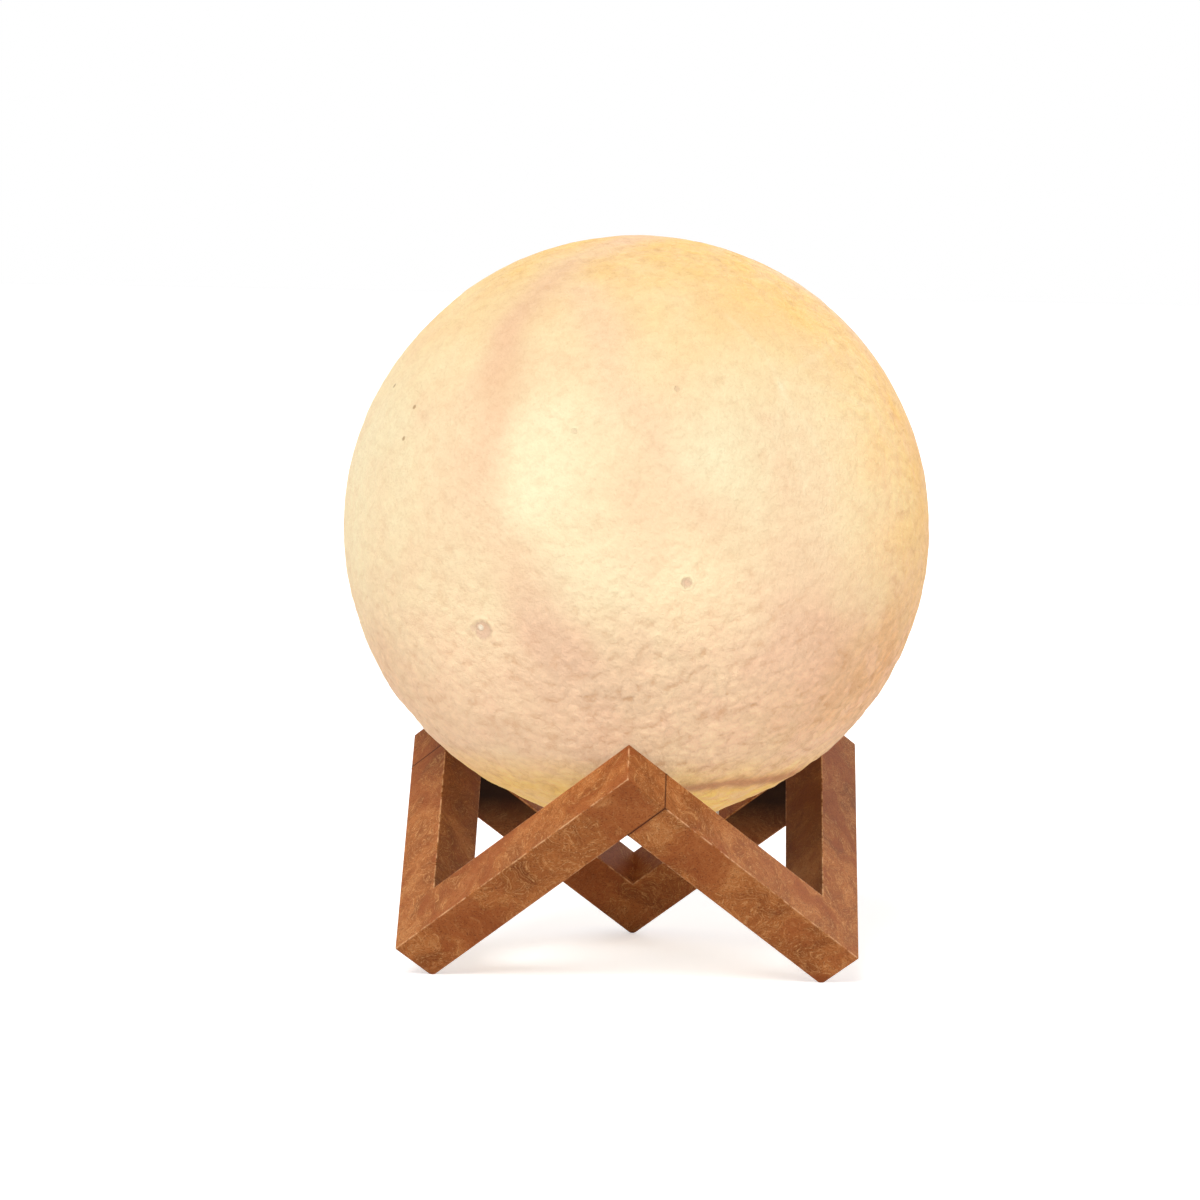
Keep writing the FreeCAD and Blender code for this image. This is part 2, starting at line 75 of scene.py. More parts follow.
def sphere_direction(latitude, longitude):
    """Unit vector: longitude runs from the front (-Y) towards the right (+X), both in degrees."""
    lat, lon = np.radians(latitude), np.radians(longitude)
    return np.stack([np.cos(lat) * np.sin(lon), -np.cos(lat) * np.cos(lon), np.sin(lat)], -1)


def degrees_of(directions):
    """Latitude and longitude of unit vectors, in degrees."""
    latitude = np.degrees(np.arcsin(np.clip(directions[..., 2], -1, 1)))
    return latitude, np.degrees(np.arctan2(directions[..., 0], -directions[..., 1]))


def field(directions, latitude, longitude, height, width):
    """Soft oval field: exp(-(dlat / height)^2 - (dlon cos(lat) / width)^2), all in degrees."""
    lat, lon = degrees_of(directions)
    across = (lon - longitude + 180) % 360 - 180
    across = across * np.cos(np.radians(latitude))
    return np.exp(-(((lat - latitude) / height) ** 2) - (across / width) ** 2)


def slope(values, start, end):
    """0 up to start and 1 from end on, and (values - start) / (end - start) between them."""
    return np.clip((values - start) / (end - start), 0, 1)


def step(values, middle, width):
    """S-shaped step from 0 to 1: 1 / (1 + exp(-(values - middle) / width))."""
    return 1 / (1 + np.exp((middle - values) / width))


def plateau(values, middle, half):
    """Flat-topped band: exp(-((values - middle) / half)^4)."""
    return np.exp(-(((values - middle) / half) ** 4))


def streak(directions, path, width):
    """Soft streak along a path of latitude and longitude pairs: exp(-(d / width)^2), where d is
    the smallest distance in degrees to the chords between neighbouring path points."""
    knots = sphere_direction(*np.array(path, float).T)
    nearest = np.full(directions.shape[:-1], 1e9)
    for a, b in zip(knots[:-1], knots[1:]):
        share = np.clip(((directions - a) @ (b - a)) / ((b - a) @ (b - a)), 0, 1)
        gap = np.linalg.norm(directions - a - share[..., None] * (b - a), axis=-1)
        nearest = np.minimum(nearest, gap)
    return np.exp(-((np.degrees(nearest) / width) ** 2))


def crater(directions, latitude, longitude, radius, depth):
    """Crater depth in mm: a bowl depth * (1 - q^2) inside its radius, where q is the distance
    over the radius, and outside a rim -0.35 depth * exp(-((q - 1.12) / 0.22)^2)."""
    away = np.arccos(np.clip(directions @ sphere_direction(latitude, longitude), -1, 1))
    q = away * GLOBE_RADIUS / radius
    bowl = depth * np.clip(1 - q**2, 0, None)
    return bowl - 0.35 * depth * np.exp(-(((q - 1.12) / 0.22) ** 2))


# Craters: latitude, longitude, radius and depth in mm. The first one has a bright mound in it.
NAMED_CRATERS = [(-17.4, -30.5, 2.8, 0.5), (-17.2, -32.6, 1.3, 0.35), (-7, 10.5, 1.6, 0.4),
                 (21, -12, 0.9, 0.1), (30, 9, 0.9, 0.1)]
SOFT_CRATERS = [(-23.5, 5, 4.2, 0.35), (-26.5, -11.5, 4.0, 0.3), (-35, 6, 3.4, 0.3),
                (-31, 24, 3.0, 0.3), (-24, 44, 2.6, 0.3), (-38, -20, 3.0, 0.25),
                (38, -22, 3.6, 0.2), (-20, 150, 4.0, 0.4), (10, 175, 3.2, 0.35),
                (-12, 100, 3.4, 0.35), (25, 110, 2.8, 0.3), (-30, -120, 3.8, 0.4)]
SMALL_CRATERS = 260


def relief_depth(directions):
    """How far the surface lies inside the full sphere, in mm: broad swells, lumps of about 9, 4
    and 2 mm that grow stronger to the south, named and scattered craters, and the fold's step."""
    at = directions * GLOBE_RADIUS
    lat, lon = degrees_of(directions)
    south = step(-lat, 12, 7)
    depth = 0.45 + 0.2 * lattice_noise(at, 26.0, 3)
    depth += (0.06 + 0.08 * south) * lattice_noise(at, 9.0, 4)
    depth += (0.05 + 0.17 * south) * lattice_noise(at, 4.6, 5)
    depth += (0.09 + 0.14 * south) * lattice_noise(at, 2.6, 6)
    for place in NAMED_CRATERS + SOFT_CRATERS:
        depth += crater(directions, *place)
    spread = np.random.default_rng(11)
    for _ in range(SMALL_CRATERS):
        lat0 = math.degrees(math.asin(spread.uniform(-0.95, 0.98)))
        lon0 = spread.uniform(-180, 180)
        radius = 0.9 + 2.4 * spread.uniform() ** 3
        deep = 0.07 if lat0 < 0 else 0.45 * 0.07
        depth += crater(directions, lat0, lon0, radius, deep * radius)
    depth += 0.25 * step(-lat, 56.3, 0.5) * plateau(lon, 50, 38)
    return np.clip(depth, 0.02, 1.4)


def keep_masks(mesh, masks):
    """Writes each mask, one number per point, to the mesh as an attribute."""
    for name, values in masks.items():
        values = np.asarray(values, np.float32).reshape(-1)
        mesh.attributes.new(name, "FLOAT", "POINT").data.foreach_set("value", values)


def make_piece(name, points, faces, masks=None):
    """A new smooth piece from points in mm and faces of point numbers, with each mask kept on
    its points as an attribute."""
    mesh = bpy.data.meshes.new(name)
    mesh.from_pydata((points / 1000).tolist(), [], faces)
    mesh.shade_smooth()
    keep_masks(mesh, masks or {})
    piece = bpy.data.objects.new(name, mesh)
    bpy.context.scene.collection.objects.link(piece)
    return piece


def ring_surface(name, *grids):
    """Mesh of one or more grids of rings: rows run along the profile, from the top down, and
    columns close on themselves. The first and the last row of each are drawn together into one
    vertex, so that the form is shut. Edges that fold by more than 40 degrees are sharp."""
    points, faces, base = [], [], 0
    for grid in grids:
        rows, cols = grid.shape[:2]
        points += [grid[:1].mean(1), grid[1:-1].reshape(-1, 3), grid[-1:].mean(1)]
        ring = 1 + base + np.arange(cols)
        turn = 1 + base + (np.arange(cols) + 1) % cols
        deep = cols * np.arange(rows - 3)[:, None]
        sides = [ring + deep, ring + cols + deep, turn + cols + deep, turn + deep]
        faces += np.stack(sides, -1).reshape(-1, 4).tolist()
        low = cols * (rows - 3)
        end = base + 1 + cols * (rows - 2)
        faces += np.stack([np.full(cols, base), ring, turn], -1).tolist()
        faces += np.stack([np.full(cols, end), turn + low, ring + low], -1).tolist()
        base = end + 1
    piece = make_piece(name, np.vstack(points), faces)
    piece.data.set_sharp_from_angle(angle=math.radians(40))
    return piece


def globe_grid(outer_rows, columns):
    """Shell as rows of rings: the displaced outside from the top down to the rim, the flat cut,
    the hole's wall, the floor, and the plain hollow back up to its top."""
    rim_latitude = -math.degrees(math.acos(RIM_RADIUS / GLOBE_RADIUS))
    latitude = np.linspace(90, rim_latitude, outer_rows)[:, None]
    longitude = np.linspace(0, 360, columns, endpoint=False)[None, :]
    directions = sphere_direction(latitude + 0 * longitude, longitude + 0 * latitude)
    fade = np.clip((latitude - rim_latitude) / 3.0, 0, 1)
    outside = directions * (GLOBE_RADIUS - relief_depth(directions) * fade)[..., None]
    cut = GLOBE_RADIUS * math.sin(math.radians(rim_latitude))
    floor = cut + GLOBE_FLOOR
    climb = np.linspace(math.asin(floor / GLOBE_HOLLOW), math.pi / 2, 15)
    radius = np.array([HOLE_RADIUS, HOLE_RADIUS, *(GLOBE_HOLLOW * np.cos(climb))])[:, None]
    height = np.array([cut, floor, *(GLOBE_HOLLOW * np.sin(climb))])[:, None]
    turn = np.radians(longitude)
    inside = np.stack([radius * np.sin(turn), -radius * np.cos(turn), height + 0 * turn], -1)
    return np.vstack([outside, inside]) + (0, 0, GLOBE_CENTRE)


moon = ring_surface("moon_globe", globe_grid(208, 420))
place = np.zeros(len(moon.data.vertices) * 3)
moon.data.vertices.foreach_get("co", place)
place = place.reshape(-1, 3) * 1000 - (0, 0, GLOBE_CENTRE)
facing = place / np.linalg.norm(place, axis=-1, keepdims=True)
moon_lat, moon_lon = degrees_of(facing)
at = facing * GLOBE_RADIUS
wander = lattice_noise(at, 11.0, 21) * 0.6 + lattice_noise(at, 5.0, 22) * 0.4
wide = facing + 0.035 * np.stack([lattice_noise(at, 14.0, seed) for seed in (31, 32, 33)], -1)
wide /= np.linalg.norm(wide, axis=-1, keepdims=True)

# Ovals of each mask: strength, latitude, longitude, and height and width in degrees
OVALS = {
    "rose": [(0.5, 11, -36, 16, 9.5), (0.35, 30, -37, 12, 6), (0.45, 8, 33, 17, 8),
             (0.4, 2, 2, 8, 8), (0.5, -25, 25, 24, 62), (0.4, -30, -40, 15, 30),
             (0.9, 24, 168, 12, 26), (0.8, -4, 128, 16, 13), (0.7, 42, 105, 10, 18),
             (0.7, -12, -128, 20, 12)],
    "shade": [(0.75, -14, 33, 11, 11), (0.6, -22, 44, 9, 12), (0.7, -16, -17, 9, 6),
              (0.6, -24, -13, 7, 9), (0.6, -18, 150, 10, 22), (0.5, -15, -150, 9, 14)],
    "bright": [(0.8, 8, -20.5, 9, 7), (0.6, 18, -15, 11, 8), (0.6, 16, 14.5, 8, 7),
               (0.4, -6, -6, 8, 10), (0.35, 12, 122, 16, 14), (0.4, 5, -140, 14, 12),
               (0.5, 15, 190, 10, 12), (0.3, 12, -70, 15, 12)],
    # amber's ovals on the right limb and at the lower right are partly painted limb shade: that
    # side drawn darker and more orange
    "amber": [(0.72, 10, 88, 50, 28), (0.22, 12, 64, 30, 17), (0.2, 48, 48, 15, 20),
              (-0.12, 43, -20, 12, 10), (0.3, -45, 55, 20, 40), (0.4, 20, -178, 50, 60)],
    # These ovals are painted limb shade: the right limb, lower right and lower left drawn darker
    # and more orange
    "limb_shade_and_band_tint": [(0.62, -26, 64, 18, 20), (0.32, 4, 86, 44, 16), (0.16, -36, 44, 9, 14),
             (0.2, -30, -72, 24, 18)],
    "thin": [(0.9, 5, 58, 40, 26), (0.8, -14, 30, 13, 18), (0.7, -38, 5, 14, 60),
             (0.6, -24, -34, 12, 16), (0.5, -7, 10, 8, 8), (-0.7, -27, 5, 7, 16)],
}
# Streaks: strength, latitude and longitude pairs, and width. The rays leave one point.
ROSE_BAND = [(84, 5), (80, -11), (55, -34), (43, -35), (28, -30), (18, -29.5), (6, -27), (-3, -22),
             (-12, -17), (-21, -14)]
SECOND_BAND = [(54, -18), (40, -7.5), (31, -4.5), (24, 1), (18, 4), (12, 9), (5, 14)]
RAYS = [[(23, 35), (9, 33)], [(22, 39), (12, 41)], [(29, 47), (26, 60)], [(36, 44), (41, 58)],
        [(20, 29), (12, 25)], [(38, 30), (48, 27)]]
STREAKS = {
    "rose": [(0.8, ROSE_BAND, 5.0), (0.65, SECOND_BAND, 4.6),
             (0.6, [(60, 80), (35, 92), (5, 88), (-20, 97)], 5.0),
             (0.6, [(55, -120), (25, -105), (0, -112), (-22, -98)], 6.0)],
    "bright": [(0.2, [(31, 33), *ray], 0.8) for ray in RAYS],
    # This streak is the rose band's own orange; the rest of this mask is painted limb shade
    "limb_shade_and_band_tint": [(0.2, ROSE_BAND[:5], 5.0)],
}
FOLD = [(-57.5, 6), (-57.5, 16), (-56.5, 26), (-55.5, 38), (-55, 52), (-54.5, 70), (-56, 88)]
masks = {}
for name in OVALS:
    masks[name] = sum(strength * field(wide, *oval) for strength, *oval in OVALS[name])
    masks[name] += sum(strength * streak(wide, *band) for strength, *band in STREAKS.get(name, []))
masks["shade"] += 0.75 * slope(moon_lat, -12, -36)
# amber's rise to the top is partly painted limb shade, and the top rim two lines below is painted
# limb shade
masks["amber"] += (0.9 * np.clip((moon_lat - 22) / 60, 0, 0.88) ** 1.1
                   + 0.25 * slope(moon_lat, -30, -55))
masks["limb_shade_and_band_tint"] += 0.1 * slope(moon_lat, 72, 92)
masks["gold"] = (0.95 * slope(moon_lat, -46, -59)
                 + 0.7 * slope(moon_lat, -58, -59.2) * plateau(moon_lon, 50, 40))
masks["fold"] = 1.25 * streak(facing, FOLD, 2.2) * plateau(moon_lon, 46, 40)
masks["rough"] = (0.17 + 0.75 * step(-moon_lat, 18, 6) * (0.5 + 0.5 * step(moon_lon, -4, 9))
                  + 0.3 * slope(moon_lat, 45, 67) + 0.35 * plateau(moon_lon, 82, 28))
for name in masks:
    masks[name] = np.clip(masks[name] * (1 + 0.3 * wander), 0, 1)
masks["lift"] = np.linalg.norm(place, axis=-1) - GLOBE_RADIUS + 0.45
keep_masks(moon.data, masks)


def tint(code):
    """Linear RGBA of an sRGB hex colour: c / 12.92 below 0.04045, and above it
    ((c + 0.055) / 1.055)^2.4."""
    shares = [int(code[i:i + 2], 16) / 255 for i in (1, 3, 5)]
    return (*[c / 12.92 if c < 0.04045 else ((c + 0.055) / 1.055) ** 2.4 for c in shares], 1.0)


def feed(node, inputs):
    """Sets a node's sockets, given by name or number or as a list in their order, each to another
    node's output, a number, a vector or a hex colour."""
    for key, value in inputs.items() if isinstance(inputs, dict) else enumerate(inputs):
        if isinstance(value, bpy.types.NodeSocket):
            node.id_data.links.new(value, node.inputs[key])
        else:
            node.inputs[key].default_value = tint(value) if isinstance(value, str) else value


def add_node(tree, kind, inputs=(), stops=(), out=None, **settings):
    """Adds a node, whose kind may end in its operation, and gives back one of its outputs: out by
    name, or else the first that is on. settings are its properties, and stops the places and hex
    colours of a colour ramp. The sockets of a MapRange are its value, the range that this comes
    from and the range it goes to."""
    kind, _, operation = kind.partition(".")
    node = tree.nodes.new("ShaderNode" + kind)
    if operation:
        node.operation = operation
    for key, value in settings.items():
        setattr(node, key, value)
    if stops:
        ramp = node.color_ramp.elements
        for _ in stops[2:]:
            ramp.new(0.5)
        for element, (position, code) in zip(ramp, stops):
            element.position, element.color = position, tint(code)
    feed(node, inputs)
    return node.outputs[out] if out else next(o for o in node.outputs if o.enabled)


def finish(name):
    """A new material, with the function that adds a node to it, its Principled shader, and the
    object's own coordinates in millimetres."""
    material = bpy.data.materials.new(name)
    material.use_nodes = True
    add = partial(add_node, material.node_tree)
    here = add("TexCoord", out="Object")
    mm = add("VectorMath.MULTIPLY", [here, (1000, 1000, 1000)])
    return material, add, material.node_tree.nodes["Principled BSDF"], mm


def fit(piece, material, body, slot, *replaced):
    """Finishes a new piece: its material, the body it moves with, and the CAD nodes it stands for.
    slot, the record's material slot, is not used."""
    piece.data.materials.append(material)
    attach(piece, body)
    if replaced:
        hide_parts(*replaced)


def away_from(add, mm, latitude, longitude, sunk):
    """Distance in mm from a point of the globe that lies sunk mm below the full sphere."""
    middle = sphere_direction(latitude, longitude) * (GLOBE_RADIUS - sunk) + (0, 0, GLOBE_CENTRE)
    return add("VectorMath.DISTANCE", [mm, tuple(middle)])


# Warm white PLA, printed in 0.2 mm layers and lit from behind. The eye sees a matt skin with a
# crumpled grain of 1 to 4 mm, rosy where the wall is thick and pale where it is thin. The grain
# is drawn stronger than the layer lines, which are too fine to show.
MOUND_RADIUS = 0.65
PINHOLES = [(28.7, -68.5), (24.6, -54), (18.2, -54)]
printed, add, skin, mm = finish("printed_pla_glowing")
masked = {name: add("Attribute", attribute_name=name, out="Fac") for name in masks}
swirl = add("TexNoise", {"Vector": mm, "Scale": 0.24, "Detail": 3, "Roughness": 0.6}, out="Color")
bent = add("VectorMath.MULTIPLY_ADD", [swirl, (4, 4, 4), mm])
# The second crumple is the first moved 0.65 mm up: their difference is painted light on the upper
# side of each lump and painted shade below it
crumples = []
for shift in ((0, 0, 0), (-0.2, -0.1, 0.65)):
    at = add("VectorMath.ADD", [bent, shift])
    lumps = add("TexNoise", {"Vector": at, "Scale": 0.26, "Detail": 5, "Roughness": 0.6})
    pebbles = add("TexVoronoi", {"Vector": at, "Scale": 0.36, "Smoothness": 0.35},
                  feature="SMOOTH_F1")
    crumples.append(add("Math.MULTIPLY_ADD", [pebbles, -0.6, lumps]))
grain = add("TexNoise", {"Vector": mm, "Scale": 1.15, "Detail": 3, "Roughness": 0.65})
clouds = add("TexNoise", {"Vector": mm, "Scale": 0.06, "Detail": 5, "Roughness": 0.6})
patches = add("TexNoise", {"Vector": bent, "Scale": 0.12, "Detail": 4, "Roughness": 0.6})
blush = add("MapRange", [patches, 0.46, 0.62, 0, 0.45])
blush = add("Math.MULTIPLY", [blush, masked["rough"]])

# Bowl and rim of each named crater: q is the distance from its middle over its radius, and the
# small ones are fainter
bowls, rims = 0.0, 0.0
for latitude, longitude, radius, _ in NAMED_CRATERS:
    q = away_from(add, mm, latitude, longitude, 0.0)
    q = add("Math.MULTIPLY_ADD", [grain, 0.9, q])
    q = add("Math.DIVIDE", [q, radius + 0.45])
    strength = min(1.0, radius / 1.6) ** 2
    ends = (1.0, 0.72, strength), (0.85, 1.08, strength), (1.4, 1.08, 1.0)
    bowl, rise, fall = [add("MapRange", [q, start, end, 0, top], interpolation_type="SMOOTHSTEP")
                        for start, end, top in ends]
    rim = add("Math.MULTIPLY", [rise, fall])
    bowls = add("Math.MAXIMUM", [bowl, bowls])
    rims = add("Math.MAXIMUM", [rim, rims])
mound = away_from(add, mm, -17.0, -31.0, 0.8)
mound = add("MapRange", [mound, MOUND_RADIUS * 1.5, MOUND_RADIUS * 0.8])
bowls = add("Math.SUBTRACT", [bowls, mound], use_clamp=True)
dim = add("Math.MULTIPLY", [bowls, 0.68])
holes = []
for latitude, longitude in PINHOLES:
    q = away_from(add, mm, latitude, longitude, 0.45)
    holes.append(add("MapRange", [q, 0.75, 0.4, 0, 0.7]))

# The colour of the light, laid on in layers from the bottom up
glow = add("ValToRGB", [clouds], [(0.3, "#FCDDB2"), (0.5, "#FDE6B9"), (0.7, "#FEECC0")])
# DC9C62 is painted limb shade, and amber's #FCC868 is partly painted limb shade
layers = [(masked["amber"], "#FCC868"), (masked["rose"], "#FCD7AE"), (masked["shade"], "#EFC7A4"),
          (masked["bright"], "#FFF3C8"), (masked["limb_shade_and_band_tint"], "#DC9C62"), (masked["gold"], "#FFCF78"),
          (blush, "#F4C3A0"), (masked["fold"], "#CF9468"), (dim, "#DFB79C"), (mound, "#FFF0D6")]
for share, code in layers + [(hole, "#9C7548") for hole in holes]:
    glow = add("Mix", {0: share, 6: glow, 7: code}, data_type="RGBA")

# The crumpled relief: lumps and pebbles where the globe is rough, and fine grain all over
pits = add("TexVoronoi", {"Vector": bent, "Scale": 0.11})
pits = add("MapRange", [pits, 0.2, 0.08, 0, 0.35])
# Painted light and shade of the lumps, lit as from above
painted_lump_shading = add("Math.SUBTRACT", crumples)
painted_lump_shading = add("Math.MULTIPLY", [painted_lump_shading, masked["rough"]])
fine = add("MapRange", [masked["rough"], 0, 1, 0.24, 0.62])
fine = add("Math.MULTIPLY", [fine, grain])
relief = crumples[0]
for part, operation in ((0.19, "SUBTRACT"), (pits, "SUBTRACT"), (masked["rough"], "MULTIPLY"),
                        (fine, "ADD")):
    relief = add("Math." + operation, [relief, part])
# tone is how bright the skin is: less in the hollows, which are also redder, as painted shade,
# more on rims, and lighter above each lump and darker below it as painted light and shade
tone = 0.953
for part, share in ((relief, 0.4), (painted_lump_shading, 0.5)):
    tone = add("Math.MULTIPLY_ADD", [part, share, tone])
# Where the tone is low, in the hollows and below the lumps, the colour turns redder: painted shade
shaded_hollow = add("MapRange", [tone, 1.02, 0.84, 0, 0.45])
glow = add("Mix", {0: shaded_hollow, 6: glow, 7: "#F4AE70"}, data_type="RGBA")
for part, share in ((masked["thin"], 0.1), (rims, 0.05), (masked["lift"], -0.1)):
    tone = add("Math.MULTIPLY_ADD", [part, share, tone])
glow = add("VectorMath.SCALE", {0: glow, 3: tone})
height = relief
for part, share in ((bowls, -0.35), (rims, 0.2)):
    height = add("Math.MULTIPLY_ADD", [part, share, height])
bump = add("Bump", {"Strength": 1.0, "Distance": 0.0017, "Height": height})
# The skin gives off GLOW_STRENGTH of its colour, and scatters SKIN_SHARE of it from the room
GLOW_STRENGTH = 0.51
SKIN_SHARE = 0.44
body = add("VectorMath.SCALE", {0: glow, 3: SKIN_SHARE})
feed(skin, {"Base Color": body, "Emission Color": glow, "Emission Strength": GLOW_STRENGTH,
            "Normal": bump, "Roughness": 0.6, "Specular IOR Level": 0.25})
fit(moon, printed, "moon", "warm_white_print", "moon_shell")


# Stand. Three equal legs, each an L sawn from one board 13 mm thick, stained mid brown and
# waxed. The short arm of each butts against the long arm of the next and is dowelled to it.
# Handling has rubbed the stain off the arrises in fine pale lines.
EDGE = 82.0
BAR = 13.0
EASE = 0.24
FLUSH = 0.06
LIFT = (EDGE - BAR) / math.sqrt(3) + 0.6
# Support points beside each corner's arc, and how worn and how near a seam its points are
NEAR, FAR = 0.25, 0.9
ARC_WEAR = np.array([0, 0, 0.3, 0.8, 1, 0.8, 0.3, 0, 0])
ARC_SEAM = np.array([0, 0.2, 1, 1, 1, 1, 1, 0.2, 0])


def cube_axes(turn):
    """Three unit vectors along the edges of the cube, one a row: each climbs 1 / sqrt(3), towards
    azimuths of -30, 210 and 90 degrees, turned about the lamp's axis."""
    angle = np.radians(np.array([-30, 210, 90]) + turn)
    flat = math.sqrt(2 / 3)
    return np.stack([flat * np.cos(angle), flat * np.sin(angle), np.full(3, 1 / math.sqrt(3))], -1)


def leg_ring(inset):
    """Outline of the L, moved inwards by inset. Each outer corner is an arc of radius EASE less
    the inset, sampled with support points NEAR and FAR before and after it, and the long arm
    has four more on each side where the neighbour's butt end begins. Returns rows of x and y, of
    how much of the corner's wear a point has, and of how near the sawn butt end it is."""
    side = EDGE - BAR
    corners = [((0, 0), EASE, 0), ((EDGE, 0), EASE, 0), ((EDGE, BAR), EASE, 0), ((BAR, BAR), 0, 0),
               ((BAR, side), 0.08, 1), ((0, side), 0.08, 1)]
    places = np.array([c[0] for c in corners], float)
    rows = []
    for i, (_, radius, butt) in enumerate(corners):
        before, after = places[i - 1], places[(i + 1) % 6]
        into = (places[i] - before) / np.linalg.norm(places[i] - before)
        out = (after - places[i]) / np.linalg.norm(after - places[i])
        left_in, left_out = np.array([-into[1], into[0]]), np.array([-out[1], out[0]])
        aside = left_in + left_out
        at = places[i] + aside * inset
        if into[0] * out[1] - into[1] * out[0] < 0:
            points = [at - into * FAR, at - into * NEAR, at, at + out * NEAR, at + out * FAR]
            rows.append(np.pad(points, ((0, 0), (0, 2))))
        else:
            r = max(radius - inset, 0.03)
            reach = max(radius, inset + 0.03) - inset
            near = 0.1 if butt else NEAR
            points = [at - into * (reach + FAR), at - into * (reach + near)]
            centre = at + aside * r
            for t in np.linspace(0, math.pi / 2, 5):
                points.append(centre - left_in * r * math.cos(t) - left_out * r * math.sin(t))
            points += [at + out * (reach + near), at + out * (reach + FAR)]
            rows.append(np.column_stack([points, ARC_WEAR * (1 - butt), ARC_SEAM * butt]))
        if i in (0, 2):
            sign = 1 if i == 0 else -1
            row = inset if i == 0 else BAR - inset
            rows.append([(side + sign * d, row, 0, 0) for d in (-0.5, -0.02, 0.02, 0.5)])
    return np.vstack(rows)


def leg_grid():
    """Rings of the leg across the board: the inset falls as e (1 - sin t) while the depth grows
    as e (1 - cos t) round each arris, and the middle of the board is plain. The rounding e is
    EASE, but only FLUSH where the neighbour's butt end meets the board."""
    turn = np.linspace(0, math.pi / 2, 5)
    grids = []
    for ease in (EASE, FLUSH):
        inset = [EASE + FAR, ease + ease**0.5 / 2, *(ease * (1 - np.sin(turn))), 0, 0]
        depth = [0, 0, *(ease * (1 - np.cos(turn))), EASE + NEAR, EASE + FAR]
        grids.append([np.insert(leg_ring(i)[:, :2], 1, EDGE - BAR + d, axis=1)
                      for i, d in zip(inset, depth)])
    soft, tight = np.array(grids)
    corner_wear, corner_seam = leg_ring(0)[:, 2:].T
    butt = soft[:, :, 2] > EDGE - BAR - 0.5
    both = []
    for joint in (butt | (soft[:, :, 0] > EDGE - BAR), butt):
        grid = np.where(joint[..., None], tight, soft)
        rounded = (ARC_WEAR > 0)[:, None]
        wear = np.maximum(corner_wear * rounded, ARC_WEAR[:, None])
        seam = np.maximum(corner_seam, joint * rounded) * (np.arange(9) > 1)[:, None]
        # inside marks the faces within the L, which the wood's finish paints darker as shade
        inside = (grid[..., 0] > BAR - EASE / 2) & (grid[..., 2] > BAR - EASE / 2)
        both.append((grid, np.where(joint, 0, wear), seam, inside))
    near, far = both
    grid = np.vstack([near[0], far[0][::-1] * (1, -1, 1) + (0, 2 * EDGE - BAR, 0)])
    # inward marks the face towards the axis, which is painted darker as shade up near the globe
    inward = np.arange(18)[:, None] < 2 + 0 * near[1][:1]
    shares = [np.vstack([a, b[::-1]]) for a, b in zip(near[1:], far[1:])]
    return grid, dict(zip(("wear", "seam", "inside", "inward"), [*shares, inward]))


def leg(name, turn, painted_shade_depth):
    """One leg: the rings, closed by a flat many-sided face at each end, turned about the axis."""
    grid, shares = leg_grid()
    # The leg's share of painted shade inside the L
    shares["inside"] = shares["inside"] * painted_shade_depth
    rows, cols = grid.shape[:2]
    points = grid.reshape(-1, 3) @ cube_axes(turn) - (0, 0, LIFT)
    points[:, 2] = np.clip(points[:, 2], 0, None)
    start = cols * np.arange(rows - 1)[:, None] + np.arange(cols)
    right = cols * np.arange(rows - 1)[:, None] + (np.arange(cols) + 1) % cols
    quads = np.stack([start, right, right + cols, start + cols], -1).reshape(-1, 4).tolist()
    ends = [list(range(cols))[::-1], list(range(cols * (rows - 1), cols * rows))]
    return make_piece(name, points, quads + ends, shares)


# Close-grained hardwood under a brown oil stain: blotchy and redder where it took the stain, and
# felted with short pale fibres that swirl. Wax gives it a low sheen. The fibres are drawn about
# 0.5 mm wide so that they show.
stained, add, wood, mm = finish("stained_waxed_wood")
drift = add("TexNoise", {"Vector": mm, "Scale": 0.08, "Detail": 2}, out="Color")
drift = add("VectorMath.MULTIPLY_ADD", [drift, (22, 22, 22), mm])
mottle = add("TexNoise", {"Vector": drift, "Scale": 0.1, "Detail": 6, "Roughness": 0.65})
fibres = []
for stretch, scale in (((0.3, 0.5, 1.5), 1.3), ((1.4, 0.35, 0.5), 1.2)):
    at = add("VectorMath.MULTIPLY", [drift, stretch])
    fibres.append(add("TexNoise", {"Vector": at, "Scale": scale, "Detail": 6, "Roughness": 0.78,
                                   "Distortion": 0.35}))
strands = add("Math.MAXIMUM", fibres)
speck = add("TexNoise", {"Vector": mm, "Scale": 2.2, "Detail": 3, "Roughness": 0.7})
blotch = add("TexNoise", {"Vector": drift, "Scale": 0.055, "Detail": 4, "Roughness": 0.55,
                          "Distortion": 1.0})
smooth = add("MapRange", [blotch, 0.5, 0.6])
felt = add("MapRange", [smooth, 0, 1, 1.0, 0.3])
red = add("Math.MULTIPLY", [smooth, 0.55])
pale = add("MapRange", [strands, 0.53, 0.66, 0, 0.9])
pale = add("Math.MULTIPLY", [pale, felt])
dark = add("MapRange", [speck, 0.47, 0.34, 0, 0.65])
